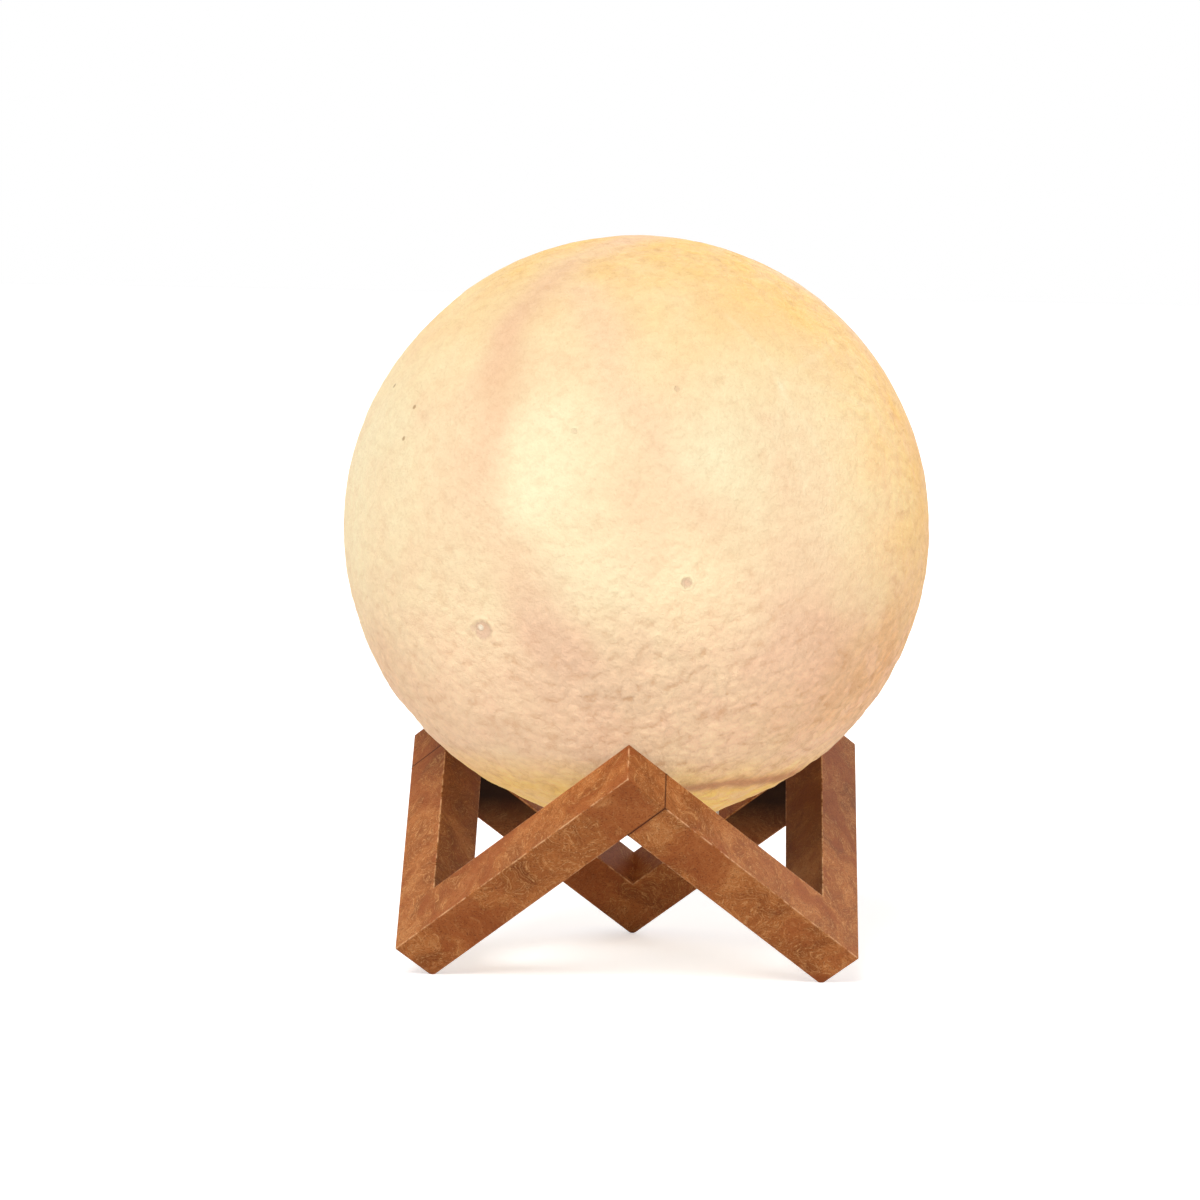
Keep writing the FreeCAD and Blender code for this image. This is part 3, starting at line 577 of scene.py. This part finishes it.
# Inside the L, and on the face towards the axis up near the globe, the wood is painted near black
# as shade where the globe shadows it, most of all on the right leg and least on the back one
on_leg = {key: add("Attribute", attribute_name=key, out="Fac")
          for key in ("inside", "inward", "wear", "seam")}
rise = add("SeparateXYZ", [mm], out="Z")
rise = add("MapRange", [rise, 21.0, 39.0, 0, 0.955])
painted_globe_shade = add("Math.MULTIPLY", [on_leg["inward"], rise])
painted_globe_shade = add("Math.MAXIMUM", [on_leg["inside"], painted_globe_shade])
broken = add("TexNoise", {"Vector": mm, "Scale": 0.35, "Detail": 5, "Roughness": 0.7})
broken = add("MapRange", [broken, 0.42, 0.58, 0, 0.8])
rubbed = add("Math.MULTIPLY", [on_leg["wear"], broken])
stain = add("ValToRGB", [mottle],
            [(0.28, "#7E451F"), (0.44, "#9A592B"), (0.56, "#AE6936"), (0.74, "#C0824D")])
# 1A0B05 is painted shade; the other colours are the wood's own flecks, wear and seams
for share, code in ((red, "#984E25"), (pale, "#D29A62"), (dark, "#5E2F14"), (painted_globe_shade, "#1A0B05"),
                    (rubbed, "#E2B183"), (on_leg["seam"], "#4A2411")):
    stain = add("Mix", {0: share, 6: stain, 7: code}, data_type="RGBA")
dull = add("MapRange", [strands, 0.35, 0.7, 0.45, 0.62])
bump = add("Bump", {"Strength": 0.3, "Distance": 0.0002, "Height": strands})
feed(wood, {"Base Color": stain, "Roughness": dull, "Normal": bump, "Specular IOR Level": 0.1})
# The third number is how strong each leg's painted shade inside the L is
for side, turn, painted_shade_depth in (("left", 0, 0.5), ("right", 120, 0.66), ("back", 240, 0.34)):
    piece = leg("stand_" + side + "_leg", turn, painted_shade_depth)
    fit(piece, stained, "stand", "stained_wood", "stand_" + side + "_v")


# Dowels. Three fluted beech pins, one glued across each butt joint of the stand. The flutes let
# air and spare glue out of the blind holes.
DOWEL_RADIUS = 2.5
DOWEL_LENGTH = 20.0
DOWEL_IN_BUTT = 12.0
CHAMFER = 0.6
FLUTES = 20
FLUTE_DEPTH = 0.13


def dowel_grid(turn):
    """Pin along a cube edge: radius R - d cos^8(n a / 2) for its n flutes of depth d, chamfered
    at both ends, and turned about the lamp's axis."""
    end = np.array([0, 0, CHAMFER, 2.0])
    along = np.array([*end, DOWEL_LENGTH / 2, *(DOWEL_LENGTH - end[::-1])])[:, None]
    shrink = np.array([CHAMFER, CHAMFER, 0, 0, 0, 0, 0, CHAMFER, CHAMFER])[:, None]
    angle = np.linspace(0, 2 * math.pi, FLUTES * 6, endpoint=False)
    radius = DOWEL_RADIUS - shrink - FLUTE_DEPTH * np.cos(FLUTES * angle / 2) ** 8
    pin = np.stack([EDGE - BAR / 2 + radius * np.cos(angle),
                    EDGE - BAR - DOWEL_IN_BUTT + along + 0 * angle,
                    BAR / 2 + radius * np.sin(angle)], -1)
    return pin[:, ::-1] @ cube_axes(turn) - (0, 0, LIFT)


def even_finish(name, grain, colours, dull, relief=None, span=(0.0, 1.0), kind="TexNoise",
                **sockets):
    """A finish whose colour, gloss and relief follow one fine pattern p. grain holds its sockets,
    with its scale per mm, colours the stops of its ramp, and dull the roughness: one number, or
    the two between which it runs as p runs over span. relief is the bump's strength and its
    height in mm, and sockets are more of the shader's sockets, with _ for a space."""
    material, add, shader, mm = finish(name)
    p = add(kind, {"Vector": mm, **grain})
    if isinstance(dull, tuple):
        dull = add("MapRange", [p, *span, *dull])
    feed(shader, {"Base Color": add("ValToRGB", [p], colours), "Roughness": dull})
    feed(shader, {key.replace("_", " "): value for key, value in sockets.items()})
    if relief:
        bump = add("Bump", {"Strength": relief[0], "Distance": relief[1] / 1000, "Height": p})
        feed(shader, {"Normal": bump})
    return material


# Plain beech, planed round: pale pinkish tan with short darker ray flecks along the pin
beech = even_finish("planed_beech", {"Scale": 0.9, "Detail": 5, "Roughness": 0.7},
                    [(0.35, "#B98A5C"), (0.5, "#D9B184"), (0.65, "#E6C59B")], (0.55, 0.75),
                    relief=(0.2, 0.1))
dowels = ring_surface("fluted_dowels", *[dowel_grid(turn) for turn in (0, 120, 240)])
fit(dowels, beech, "stand", "dowel_wood", "stand_dowels")


# Neck ring. A flanged collar moulded in white polypropylene and glued into the globe's hole. The
# module's hooks snap behind it.
def dress(material, *names):
    """Gives a material to CAD nodes whose shape is already right."""
    for name in names:
        nodes[name].data.materials.clear()
        nodes[name].data.materials.append(material)


# Polypropylene as moulded: slightly waxy and uneven in its sheen, with soft flow marks of 6 mm
dress(even_finish("moulded_polypropylene", {"Scale": 0.16, "Detail": 3, "Distortion": 1.5},
                  [(0.3, "#E4DFD2"), (0.7, "#F0ECE1")], (0.36, 0.5), span=(0.3, 0.7)), "neck_ring")


# Base cap and module housing. Two ABS mouldings: the round underside, whose mould was spark
# eroded to a fine matt grain, and the smoother cup with its snap hooks, posts and ribs.
grained, add, shell, mm = finish("spark_grained_abs")
spark = add("TexVoronoi", {"Vector": mm, "Scale": 2.4})
cloud = add("TexNoise", {"Vector": mm, "Scale": 0.2, "Detail": 4})
pale = add("ValToRGB", [cloud], [(0.3, "#E9E5DC"), (0.7, "#F2EFE8")])
dull = add("MapRange", [spark, 0, 1, 0.48, 0.7])
bump = add("Bump", {"Strength": 0.35, "Distance": 0.0001, "Height": spark})
feed(shell, {"Base Color": pale, "Roughness": dull, "Normal": bump})
dress(grained, "base_cap")
dress(even_finish("polished_abs", {"Scale": 0.12, "Detail": 4, "Distortion": 1.0},
                  [(0.3, "#E6E3DB"), (0.7, "#F1EEE7")], (0.24, 0.38), span=(0.3, 0.7)),
      "module_housing")


# Screws. Two flat-headed ones hold the cap and two cheese-headed ones the LED board. All are
# zinc-plated steel with a rolled thread for plastic and a cross recess.
cap_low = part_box("base_cap")[0].z * 1000
SCREW_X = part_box("housing_screws")[1].x * 1000 - 2.1
LED_SCREW_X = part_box("led_board_screws")[1].x * 1000 - 1.9
LED_BOARD_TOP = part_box("led_board")[1].z * 1000
THREAD_PITCH = 0.9
THREAD_DEPTH = 0.28


def screw_grid(outline, recess, thread, sign=1):
    """Rings from the tip to the middle of the head's face. thread is the shank's radius and its
    lower and upper end: a core plus a ridge max(0, 1 - 4 |s|), where s is the distance in turns
    to the helix z / pitch - a / 2 pi. outline is the head's radius and height pairs. recess is
    the cross's depth and half length: it deepens where the smaller of |x| and |y| is under 0.3 mm
    and the larger under that half length. sign -1 turns the tip downwards."""
    angle = np.linspace(0, 2 * math.pi, 72, endpoint=False)
    ring = np.ones(72)
    shank, low, high = thread
    levels = np.linspace(high, low, int((high - low) / 0.1))[:, None]
    turns = (levels / THREAD_PITCH - angle / (2 * math.pi)) % 1 - 0.5
    ridge = np.clip(1 - 4 * np.abs(turns), 0, 1) * np.clip((high - levels) / 0.8, 0, 1)
    point = np.clip((high + 0.5 - levels) / 1.2, 0.3, 1)
    radius = [0 * ring, *((shank - THREAD_DEPTH) * point + THREAD_DEPTH * ridge)]
    height = [high * ring, *(levels * ring)]
    for r, z in outline:
        radius.append(r * ring)
        height.append(z * ring)
    deep, length = recess
    for r in np.linspace(outline[-1][0], 0.0, 26)[1:]:
        small, large = np.sort(np.abs([r * np.cos(angle), r * np.sin(angle)]), axis=0)
        dip = np.clip((0.3 - small) / 0.12, 0, 1) * np.clip((length - large) / 0.5, 0, 1)
        radius.append(r * ring)
        height.append(outline[-1][1] + deep * dip)
    radius, height = np.array(radius), np.array(height) * sign
    grid = np.stack([radius * np.sin(angle), -radius * np.cos(angle), height], -1)
    return grid if sign > 0 else grid[:, ::-1]


# Bright zinc plate: bluish grey with faint yellow passivated clouds of about 2 mm
zinc = even_finish("zinc_plated_steel", {"Scale": 0.5, "Detail": 4},
                   [(0.35, "#AEB4BC"), (0.55, "#C3C6C9"), (0.7, "#CFCBBE")], (0.22, 0.42),
                   Metallic=1.0)
flat_head = screw_grid([(1.1, 1.0), (2.02, 0.08), (2.1, 0.0)], (1.1, 1.35), (1.1, 1.1, 7.98))
cheese_head = screw_grid([(1.0, 0.0), (1.85, 0.0), (1.9, -0.06), (1.9, -1.0), (1.7, -1.2)],
                         (0.75, 1.2), (1.0, 0.1, 4.98), -1)
for node, screw, across, rest in (("housing_screws", flat_head, SCREW_X, cap_low),
                                  ("led_board_screws", cheese_head, LED_SCREW_X, LED_BOARD_TOP)):
    name = "cross_head_" + node.replace("housing", "cap")
    pair = ring_surface(name, *[screw + (x, 0, rest) for x in (-across, across)])
    fit(pair, zinc, "light_module", "zinc_steel", node)


# Control board. Glass-fibre laminate under green solder mask, with thin copper tracks that show
# through the mask. It carries everything electric but the cell and the LEDs.
mask_green, add, laminate, mm = finish("green_solder_mask")
track = add("TexVoronoi", {"Vector": mm, "Scale": 0.3}, distance="MANHATTAN")
track = add("Math.PINGPONG", [add("Math.MULTIPLY", [track, 5.0]), 1.0])
track = add("MapRange", [track, 0.72, 0.78])
weave = add("TexNoise", {"Vector": mm, "Scale": 1.6, "Detail": 2})
green = add("ValToRGB", [weave], [(0.35, "#12502C"), (0.65, "#1B6237")])
green = add("Mix", {0: track, 6: green, 7: "#35854C"}, data_type="RGBA")
bump = add("Bump", {"Strength": 0.5, "Distance": 0.00005, "Height": track})
dull = add("MapRange", [weave, 0, 1, 0.25, 0.4])
feed(laminate, {"Base Color": green, "Roughness": dull, "Normal": bump})
dress(mask_green, "control_board")


# Charging socket. A folded shell of nickel-plated steel round a black plastic tongue that
# carries five gold-flashed contacts, 0.65 mm apart.
# Nickel plate: warm grey metal, drawn out along the fold in fine streaks
nickel, add, metal, mm = finish("nickel_plated_steel")
drawn = add("VectorMath.MULTIPLY", [mm, (3.0, 3.0, 0.4)])
rolled = add("TexNoise", {"Vector": drawn, "Scale": 1.2, "Detail": 3})
grey = add("ValToRGB", [rolled], [(0.3, "#B9B7B2"), (0.7, "#D2D0CB")])
dull = add("MapRange", [rolled, 0, 1, 0.18, 0.4])
feed(metal, {"Metallic": 1.0, "Base Color": grey, "Roughness": dull})
dress(nickel, "charge_socket")

# Polymer: black and slightly dusty, under gold-flashed strips that end 1.6 mm from its middle
CONTACT_PITCH = 0.65
contacts, add, tongue, mm = finish("black_polymer_with_gold_contacts")
across = add("SeparateXYZ", [mm], out="X")
pitch = add("Math.MULTIPLY_ADD", [across, 1 / CONTACT_PITCH, 0.5])
for value, operation in ((1.0, "FLOORED_MODULO"), (0.5, "SUBTRACT"), (0.0, "ABSOLUTE")):
    pitch = add("Math." + operation, [pitch, value])
strip = add("Math.LESS_THAN", [pitch, 0.28])
edge = add("Math.LESS_THAN", [add("Math.ABSOLUTE", [across]), 1.6])
strip = add("Math.MULTIPLY", [strip, edge])
dust = add("TexNoise", {"Vector": mm, "Scale": 3, "Detail": 2})
black = add("ValToRGB", [dust], [(0.3, "#161617"), (0.7, "#242425")])
colour = add("Mix", {0: strip, 6: black, 7: "#D9A54A"}, data_type="RGBA")
dull = add("MapRange", [strip, 0, 1, 0.55, 0.25])
feed(tongue, {"Base Color": colour, "Metallic": strip, "Roughness": dull})
dress(contacts, "socket_tongue")


# Switch. A small tact switch under the board: a body of black glass-filled nylon, soldered on,
# and the acetal plunger that the power button pushes.
# Nylon: matt black, with glass fibres that show as pale flecks
dress(even_finish("glass_filled_nylon", {"Scale": 2.2, "Detail": 3, "Roughness": 0.7},
                  [(0.35, "#141415"), (0.6, "#222224"), (0.72, "#3A3A3C")], 0.55,
                  relief=(0.3, 0.04)), "tact_switch")
# Acetal: dark grey and slippery, with a soft gloss
dress(even_finish("dark_acetal", {"Scale": 0.9, "Detail": 2},
                  [(0.35, "#2A2B2D"), (0.65, "#37383A")], (0.28, 0.42)), "switch_plunger")


# Power button. A dished round key in the middle of the cap, moulded in warm grey ABS with a
# satin skin that fingers have polished in its dish.
def from_axis(add, mm, x=0.0, y=0.0):
    """Distance in mm from the upright line through x and y."""
    level = add("VectorMath.MULTIPLY", [mm, (1, 1, 0)])
    return add("VectorMath.DISTANCE", [level, (x, y, 0)])


satin, add, key, mm = finish("satin_grey_abs")
away = from_axis(add, mm)
rub = add("TexNoise", {"Vector": mm, "Scale": 0.7, "Detail": 5, "Roughness": 0.7})
grey = add("ValToRGB", [rub], [(0.3, "#B4B0A8"), (0.7, "#C4C0B8")])
worn = add("Math.MULTIPLY_ADD", [rub, 3.0, away])
dull = add("MapRange", [worn, 2.0, 6.5, 0.28, 0.55])
feed(key, {"Base Color": grey, "Roughness": dull})
dress(satin, "power_button")


# Chips. Three packages moulded in black epoxy, with tinned legs bent down to the board. CHIPS
# gives each one's length, width, height, x and y in mm, and LEGS the x and y, half width, pitch
# and number of its legs a side.
BOARD_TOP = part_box("control_board")[1].z * 1000
CHIPS = [(4.9, 3.9, 1.6, -6.5, 3.5), (3.0, 3.0, 1.0, 2.0, 6.5), (2.9, 1.6, 1.1, 7.0, 4.0)]
LEGS = [(-6.5, 3.5, 1.95, 1.27, 4), (7.0, 4.0, 0.8, 0.95, 3)]


def slab(width, depth, low, high, corner, edge, x=0.0, y=0.0):
    """Rings of a box from its top to its bottom: a rounded rectangle whose upright corners have
    the given radius, moved inwards by edge (1 - sin t) as it sinks by edge (1 - cos t)."""
    t = np.linspace(0, math.pi / 2, 4)
    inset = np.concatenate([[edge], edge * (1 - np.sin(t))])
    drop = np.concatenate([[0], edge * (1 - np.cos(t))])
    inset = np.concatenate([inset, inset[::-1]])[:, None]
    height = np.concatenate([high - drop, low + drop[::-1]])[:, None]
    angle = np.concatenate([k * math.pi / 2 + t for k in range(4)])
    side_x, side_y = np.repeat([1, -1, -1, 1], 4), np.repeat([1, 1, -1, -1], 4)
    r = np.maximum(corner - inset, 0.02)
    px = x + side_x * (width / 2 - inset - r) + r * np.cos(angle)
    py = y + side_y * (depth / 2 - inset - r) + r * np.sin(angle)
    return np.stack([px, py, height + 0 * angle], -1)


# Moulded epoxy: near black and matt, with a fine silica grain
epoxy = even_finish("moulded_epoxy", {"Scale": 2.6, "Detail": 2},
                    [(0.35, "#1A1A1C"), (0.65, "#29292B")], 0.6, relief=(0.3, 0.03))
blocks = [slab(length, width, BOARD_TOP, BOARD_TOP + high, 0.15, 0.12, x, y)
          for length, width, high, x, y in CHIPS]
fit(ring_surface("chip_packages", *blocks), epoxy, "light_module", "chip_resin", "board_chips")

# Tin plate, dull and slightly crystalline
tin = even_finish("tin_plate", {"Scale": 4}, [(0.1, "#C9CACB"), (0.6, "#ABADAF")], (0.3, 0.5),
                  kind="TexVoronoi", Metallic=1.0)
feet = []
for x, y, side, pitch, count in LEGS:
    for i in range(count):
        across = x + (i - (count - 1) / 2) * pitch
        for sign in (-1, 1):
            feet += [slab(0.4, 0.6, BOARD_TOP, BOARD_TOP + 0.2, 0.05, 0.04,
                          across, y + sign * (side + 0.55)),
                     slab(0.4, 0.3, BOARD_TOP + 0.05, BOARD_TOP + 0.65, 0.05, 0.05,
                          across, y + sign * (side + 0.13))]
fit(ring_surface("chip_legs", *feet), tin, "light_module", "socket_steel")


# Power coil. A ferrite drum wound with enamelled copper wire, on a square ferrite foot. It feeds
# the charger and the LEDs.
COIL_X, COIL_Y = -5.0, -4.0


def lathe(profile, columns):
    """Rings for an outline of radius and height pairs, from the top down, turned about Z."""
    radius, height = np.array(profile, float).T[:, :, None]
    turn = np.linspace(0, 2 * math.pi, columns, endpoint=False)
    return np.stack([radius * np.sin(turn), -radius * np.cos(turn), height + 0 * turn], -1)


drum_low = BOARD_TOP + 0.6
turns = [(2.24 + 0.1 * abs(math.sin(math.pi * k / 6)), 1.95 - 1.5 * k / 24) for k in range(25)]
drum = [(2.4, 2.4), (2.5, 2.4), (2.6, 2.3), (2.6, 1.95), *turns, (2.6, 0.45), (2.6, 0.05), (2.5, 0),
        (2.4, 0)]
wound, add, core, mm = finish("ferrite_with_enamelled_copper")
away = from_axis(add, mm, COIL_X, COIL_Y)
rise = add("SeparateXYZ", [mm], out="Z")
rise = add("Math.ABSOLUTE", [add("Math.SUBTRACT", [rise, drum_low + 1.2])])
wire = add("Math.LESS_THAN", [away, 2.42])
wire = add("Math.MULTIPLY", [wire, add("Math.LESS_THAN", [rise, 0.8])])
grit = add("TexNoise", {"Vector": mm, "Scale": 2.0, "Detail": 4})
grey = add("ValToRGB", [grit], [(0.35, "#333437"), (0.65, "#45464A")])
colour = add("Mix", {0: wire, 6: grey, 7: "#B5622E"}, data_type="RGBA")
dull = add("MapRange", [wire, 0, 1, 0.6, 0.3])
bump = add("Bump", {"Strength": 0.25, "Distance": 0.00005, "Height": grit})
feed(core, {"Base Color": colour, "Metallic": wire, "Roughness": dull, "Normal": bump})
foot = slab(6.0, 6.0, BOARD_TOP, drum_low, 1.2, 0.1, COIL_X, COIL_Y)
coil = ring_surface("wound_coil", foot, lathe(drum, 64) + (COIL_X, COIL_Y, drum_low))
fit(coil, wound, "light_module", "coil_ferrite", "power_coil")


# Capacitors. Four tan ceramic blocks with tinned ends, of the kind that is soldered flat on the
# board.
PLACES = [(-1.5, 10.5), (1.5, 10.5), (4.2, -2.0), (4.2, 0.6)]
ceramic = even_finish("fired_ceramic", {"Scale": 1.8, "Detail": 3},
                      [(0.35, "#9C7A55"), (0.65, "#B08D66")], 0.45)
blocks = [slab(1.7, 1.17, BOARD_TOP + 0.04, BOARD_TOP + 0.96, 0.06, 0.05, x, y) for x, y in PLACES]
ends = [slab(0.36, 1.25, BOARD_TOP, BOARD_TOP + 1.0, 0.09, 0.08, x + sign * 0.82, y)
        for x, y in PLACES for sign in (-1, 1)]
fit(ring_surface("capacitor_bodies", *blocks), ceramic, "light_module", "capacitor_ceramic",
    "board_capacitors")
fit(ring_surface("capacitor_ends", *ends), tin, "light_module", "capacitor_ceramic")


# Charge indicator and light pipe. A small green LED shines down a clear acrylic rod while the
# cell charges. Unlit, as here, the rod's lower end is a dark dot beside the socket.
# Tinted resin: pale green and slightly cloudy while unlit
dress(even_finish("green_tinted_resin", {"Scale": 1.5, "Detail": 2},
                  [(0.3, "#7FBF6A"), (0.7, "#A6D78F")], 0.25), "indicator_led")
# Acrylic: clear, with a faint haze from its mould
dress(even_finish("clear_acrylic", {"Scale": 0.7, "Detail": 3},
                  [(0.3, "#EEF4F1"), (0.7, "#FAFCFB")], (0.04, 0.16), Transmission_Weight=1.0,
                  IOR=1.49), "light_pipe")


# Battery. A lithium pouch cell in aluminium foil laminate with its side seams folded up and
# amber tape over the end where the leads are welded, held to the ceiling by foam tape.
cell_low, cell_high = (c * 1000 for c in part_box("battery_cell"))
# Laminate: a grey metal skin with shallow creases of about 3 mm
foil = even_finish("aluminium_pouch_laminate",
                   {"Scale": 0.35, "Detail": 5, "Roughness": 0.6, "Distortion": 1.2},
                   [(0.3, "#A9ABAE"), (0.7, "#C6C8CA")], (0.28, 0.5), relief=(0.5, 0.3),
                   Metallic=1.0)
width, length = cell_high.x - cell_low.x, cell_high.y - cell_low.y
packet = [slab(width - 0.9, length - 0.6, cell_low.z, cell_high.z, 1.6, 1.5, 0, 0.1)]
packet += [slab(0.4, length - 1.6, cell_low.z + 1.2, cell_high.z - 1.6, 0.15, 0.12,
                sign * (width / 2 - 0.2), 0.1) for sign in (-1, 1)]
fit(ring_surface("pouch_cell", *packet), foil, "light_module", "pouch_foil", "battery_cell")

# Polyimide tape: glossy amber film with trapped pale streaks
amber_tape = even_finish("polyimide_tape", {"Scale": 0.6, "Detail": 4, "Distortion": 2.0},
                         [(0.3, "#A5671B"), (0.6, "#BC7B24"), (0.75, "#CF9440")], 0.18)
tape = slab(width - 1.6, 1.4, cell_low.z + 0.9, cell_high.z - 0.9, 0.3, 0.25, 0, cell_low.y + 0.71)
fit(ring_surface("cell_end_tape", tape), amber_tape, "light_module", "pouch_foil")

# Closed-cell foam: grey white, with open pores of about 0.5 mm at its cut sides
dress(even_finish("closed_cell_foam", {"Scale": 1.9}, [(0.1, "#A9A8A3"), (0.5, "#D4D3CE")], 0.95,
                  relief=(0.6, 0.2), kind="TexVoronoi"), "battery_pad")


# Leads. Two pairs of PVC-sleeved wires, one red and one black in each: from the battery's plug
# up to the cell, and from the control board up to the LED board.
for node, axis, middle in (("battery_leads", "X", 0.0), ("led_leads", "Y", -8.6)):
    sleeve, add, pvc, mm = finish("red_and_black_pvc_" + node)
    place = add("SeparateXYZ", [mm], out=axis)
    red_side = add("Math.GREATER_THAN", [place, middle])
    rub = add("TexNoise", {"Vector": mm, "Scale": 0.8, "Detail": 3})
    black = add("ValToRGB", [rub], [(0.3, "#19191A"), (0.7, "#2B2B2D")])
    red = add("ValToRGB", [rub], [(0.3, "#A31B17"), (0.7, "#BE2B23")])
    colour = add("Mix", {0: red_side, 6: black, 7: red}, data_type="RGBA")
    feed(pvc, {"Base Color": colour, "Roughness": 0.4})
    dress(sleeve, node)


# Battery connector. A plug of natural nylon in its nylon header on the board, so that the cell can
# be changed. Unfilled nylon is milky and slightly yellow.
dress(even_finish("natural_nylon", {"Scale": 0.5, "Detail": 3},
                  [(0.3, "#E0D8C3"), (0.7, "#EDE7D6")], (0.35, 0.5)),
      "battery_plug", "battery_header")


# LED board. An aluminium-backed disc under white solder mask, with raised copper rings below
# the mask, and eight warm white LEDs in a ring on it.
LED_RING = 11.0
white_mask, add, board, mm = finish("white_solder_mask")
away = from_axis(add, mm)
ring = add("Math.ABSOLUTE", [add("Math.SUBTRACT", [away, LED_RING])])
ring = add("MapRange", [ring, 1.9, 2.0])
edge = add("Math.GREATER_THAN", [away, 16.6])
chalk = add("TexNoise", {"Vector": mm, "Scale": 1.2, "Detail": 3})
white = add("ValToRGB", [chalk], [(0.3, "#E6E6E2"), (0.7, "#F3F3EF")])
white = add("Mix", {0: edge, 6: white, 7: "#B6B8BA"}, data_type="RGBA")
bump = add("Bump", {"Strength": 0.4, "Distance": 0.00005, "Height": ring})
dull = add("MapRange", [chalk, 0, 1, 0.4, 0.55])
feed(board, {"Base Color": white, "Metallic": edge, "Roughness": dull, "Normal": bump})
dress(white_mask, "led_board")

# White polymer case with a yellow phosphor window, glowing warm
LED_CASE_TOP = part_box("warm_leds")[1].z * 1000 - 0.2
phosphor, add, led, mm = finish("phosphor_window_in_white_polymer")
rise = add("SeparateXYZ", [mm], out="Z")
window = add("Math.GREATER_THAN", [rise, LED_CASE_TOP])
grit = add("TexNoise", {"Vector": mm, "Scale": 2.5, "Detail": 3})
yellow = add("ValToRGB", [grit], [(0.3, "#E8A93A"), (0.7, "#F4C765")])
colour = add("Mix", {0: window, 6: "#ECEAE4", 7: yellow}, data_type="RGBA")
glow = add("Mix", {0: window, 6: "#000000", 7: "#FFD9A0"}, data_type="RGBA")
feed(led, {"Base Color": colour, "Emission Color": glow, "Emission Strength": 1.0,
           "Roughness": 0.35})
dress(phosphor, "warm_leds")


# Floor and light. A wide sheet of white paper, an even white room, and three soft lamps: the
# main one from the upper left in front, and weaker ones from the right and from behind.
room = bpy.data.worlds.new("white_room")
bpy.context.scene.world = room
room.use_nodes = True
add = partial(add_node, room.node_tree)
ray = add("LightPath").node.outputs
seen = add("Math.MAXIMUM", [ray["Is Camera Ray"], ray["Is Glossy Ray"]])
seen = add("Math.MAXIMUM", [seen, ray["Is Transmission Ray"]])
level = add("MapRange", [seen, 0, 1, 0.32, 1.0])
feed(room.node_tree.nodes["Background"], {"Color": "#FFFFFF", "Strength": level})

bpy.ops.mesh.primitive_plane_add(size=60, location=(0, 0, 0))
floor = bpy.context.object
floor.name = "paper_floor"
paper, add, sheet, mm = finish("white_paper")
tooth = add("TexNoise", {"Vector": mm, "Scale": 0.9, "Detail": 2})
tone = add("MapRange", [tooth, 0, 1, 0.84, 0.86])
ray = add("LightPath", out="Is Camera Ray")
level = add("Math.MULTIPLY", [ray, 0.5])
feed(sheet, {"Base Color": tone, "Roughness": 0.9, "Specular IOR Level": 0.1,
             "Emission Color": (1, 1, 1, 1), "Emission Strength": level})
floor.data.materials.append(paper)

# Lamps: the direction each shines from, its strength, and its angle in degrees
for name, place, energy, angle in (("soft_lamp", (-0.3, -1.0, 0.95), 2.4, 30),
                                   ("fill_lamp", (0.7, -1.0, 0.2), 0.3, 50),
                                   ("rear_lamp", (0.4, 1.0, 0.7), 1.1, 60)):
    light = bpy.data.lights.new(name, "SUN")
    light.energy, light.angle = energy, math.radians(angle)
    lamp = bpy.data.objects.new(name, light)
    lamp.rotation_euler = (-Vector(place)).to_track_quat("-Z", "Y").to_euler()
    bpy.context.scene.collection.objects.link(lamp)
bpy.context.scene.view_settings.view_transform = "Standard"

# Camera, a little above the globe's middle and about 1.25 m away, with the lens of a long
# portrait shot. Its place and its three axes were fitted to the photograph.
eye = bpy.data.cameras.new("camera")
camera = bpy.data.objects.new("camera", eye)
right = Vector((0.999551, 0.023910, 0.018056))
up = Vector((-0.019630, 0.067315, 0.997539))
back = Vector((0.022635, -0.997445, 0.067754))
turned = Matrix((right, up, back)).transposed().to_4x4()
camera.matrix_world = Matrix.Translation((0.019251, -1.246152, 0.177755)) @ turned
eye.sensor_width, eye.lens = 36, 146.68
eye.clip_start, eye.clip_end = 0.05, 60
bpy.context.scene.collection.objects.link(camera)
bpy.context.scene.camera = camera
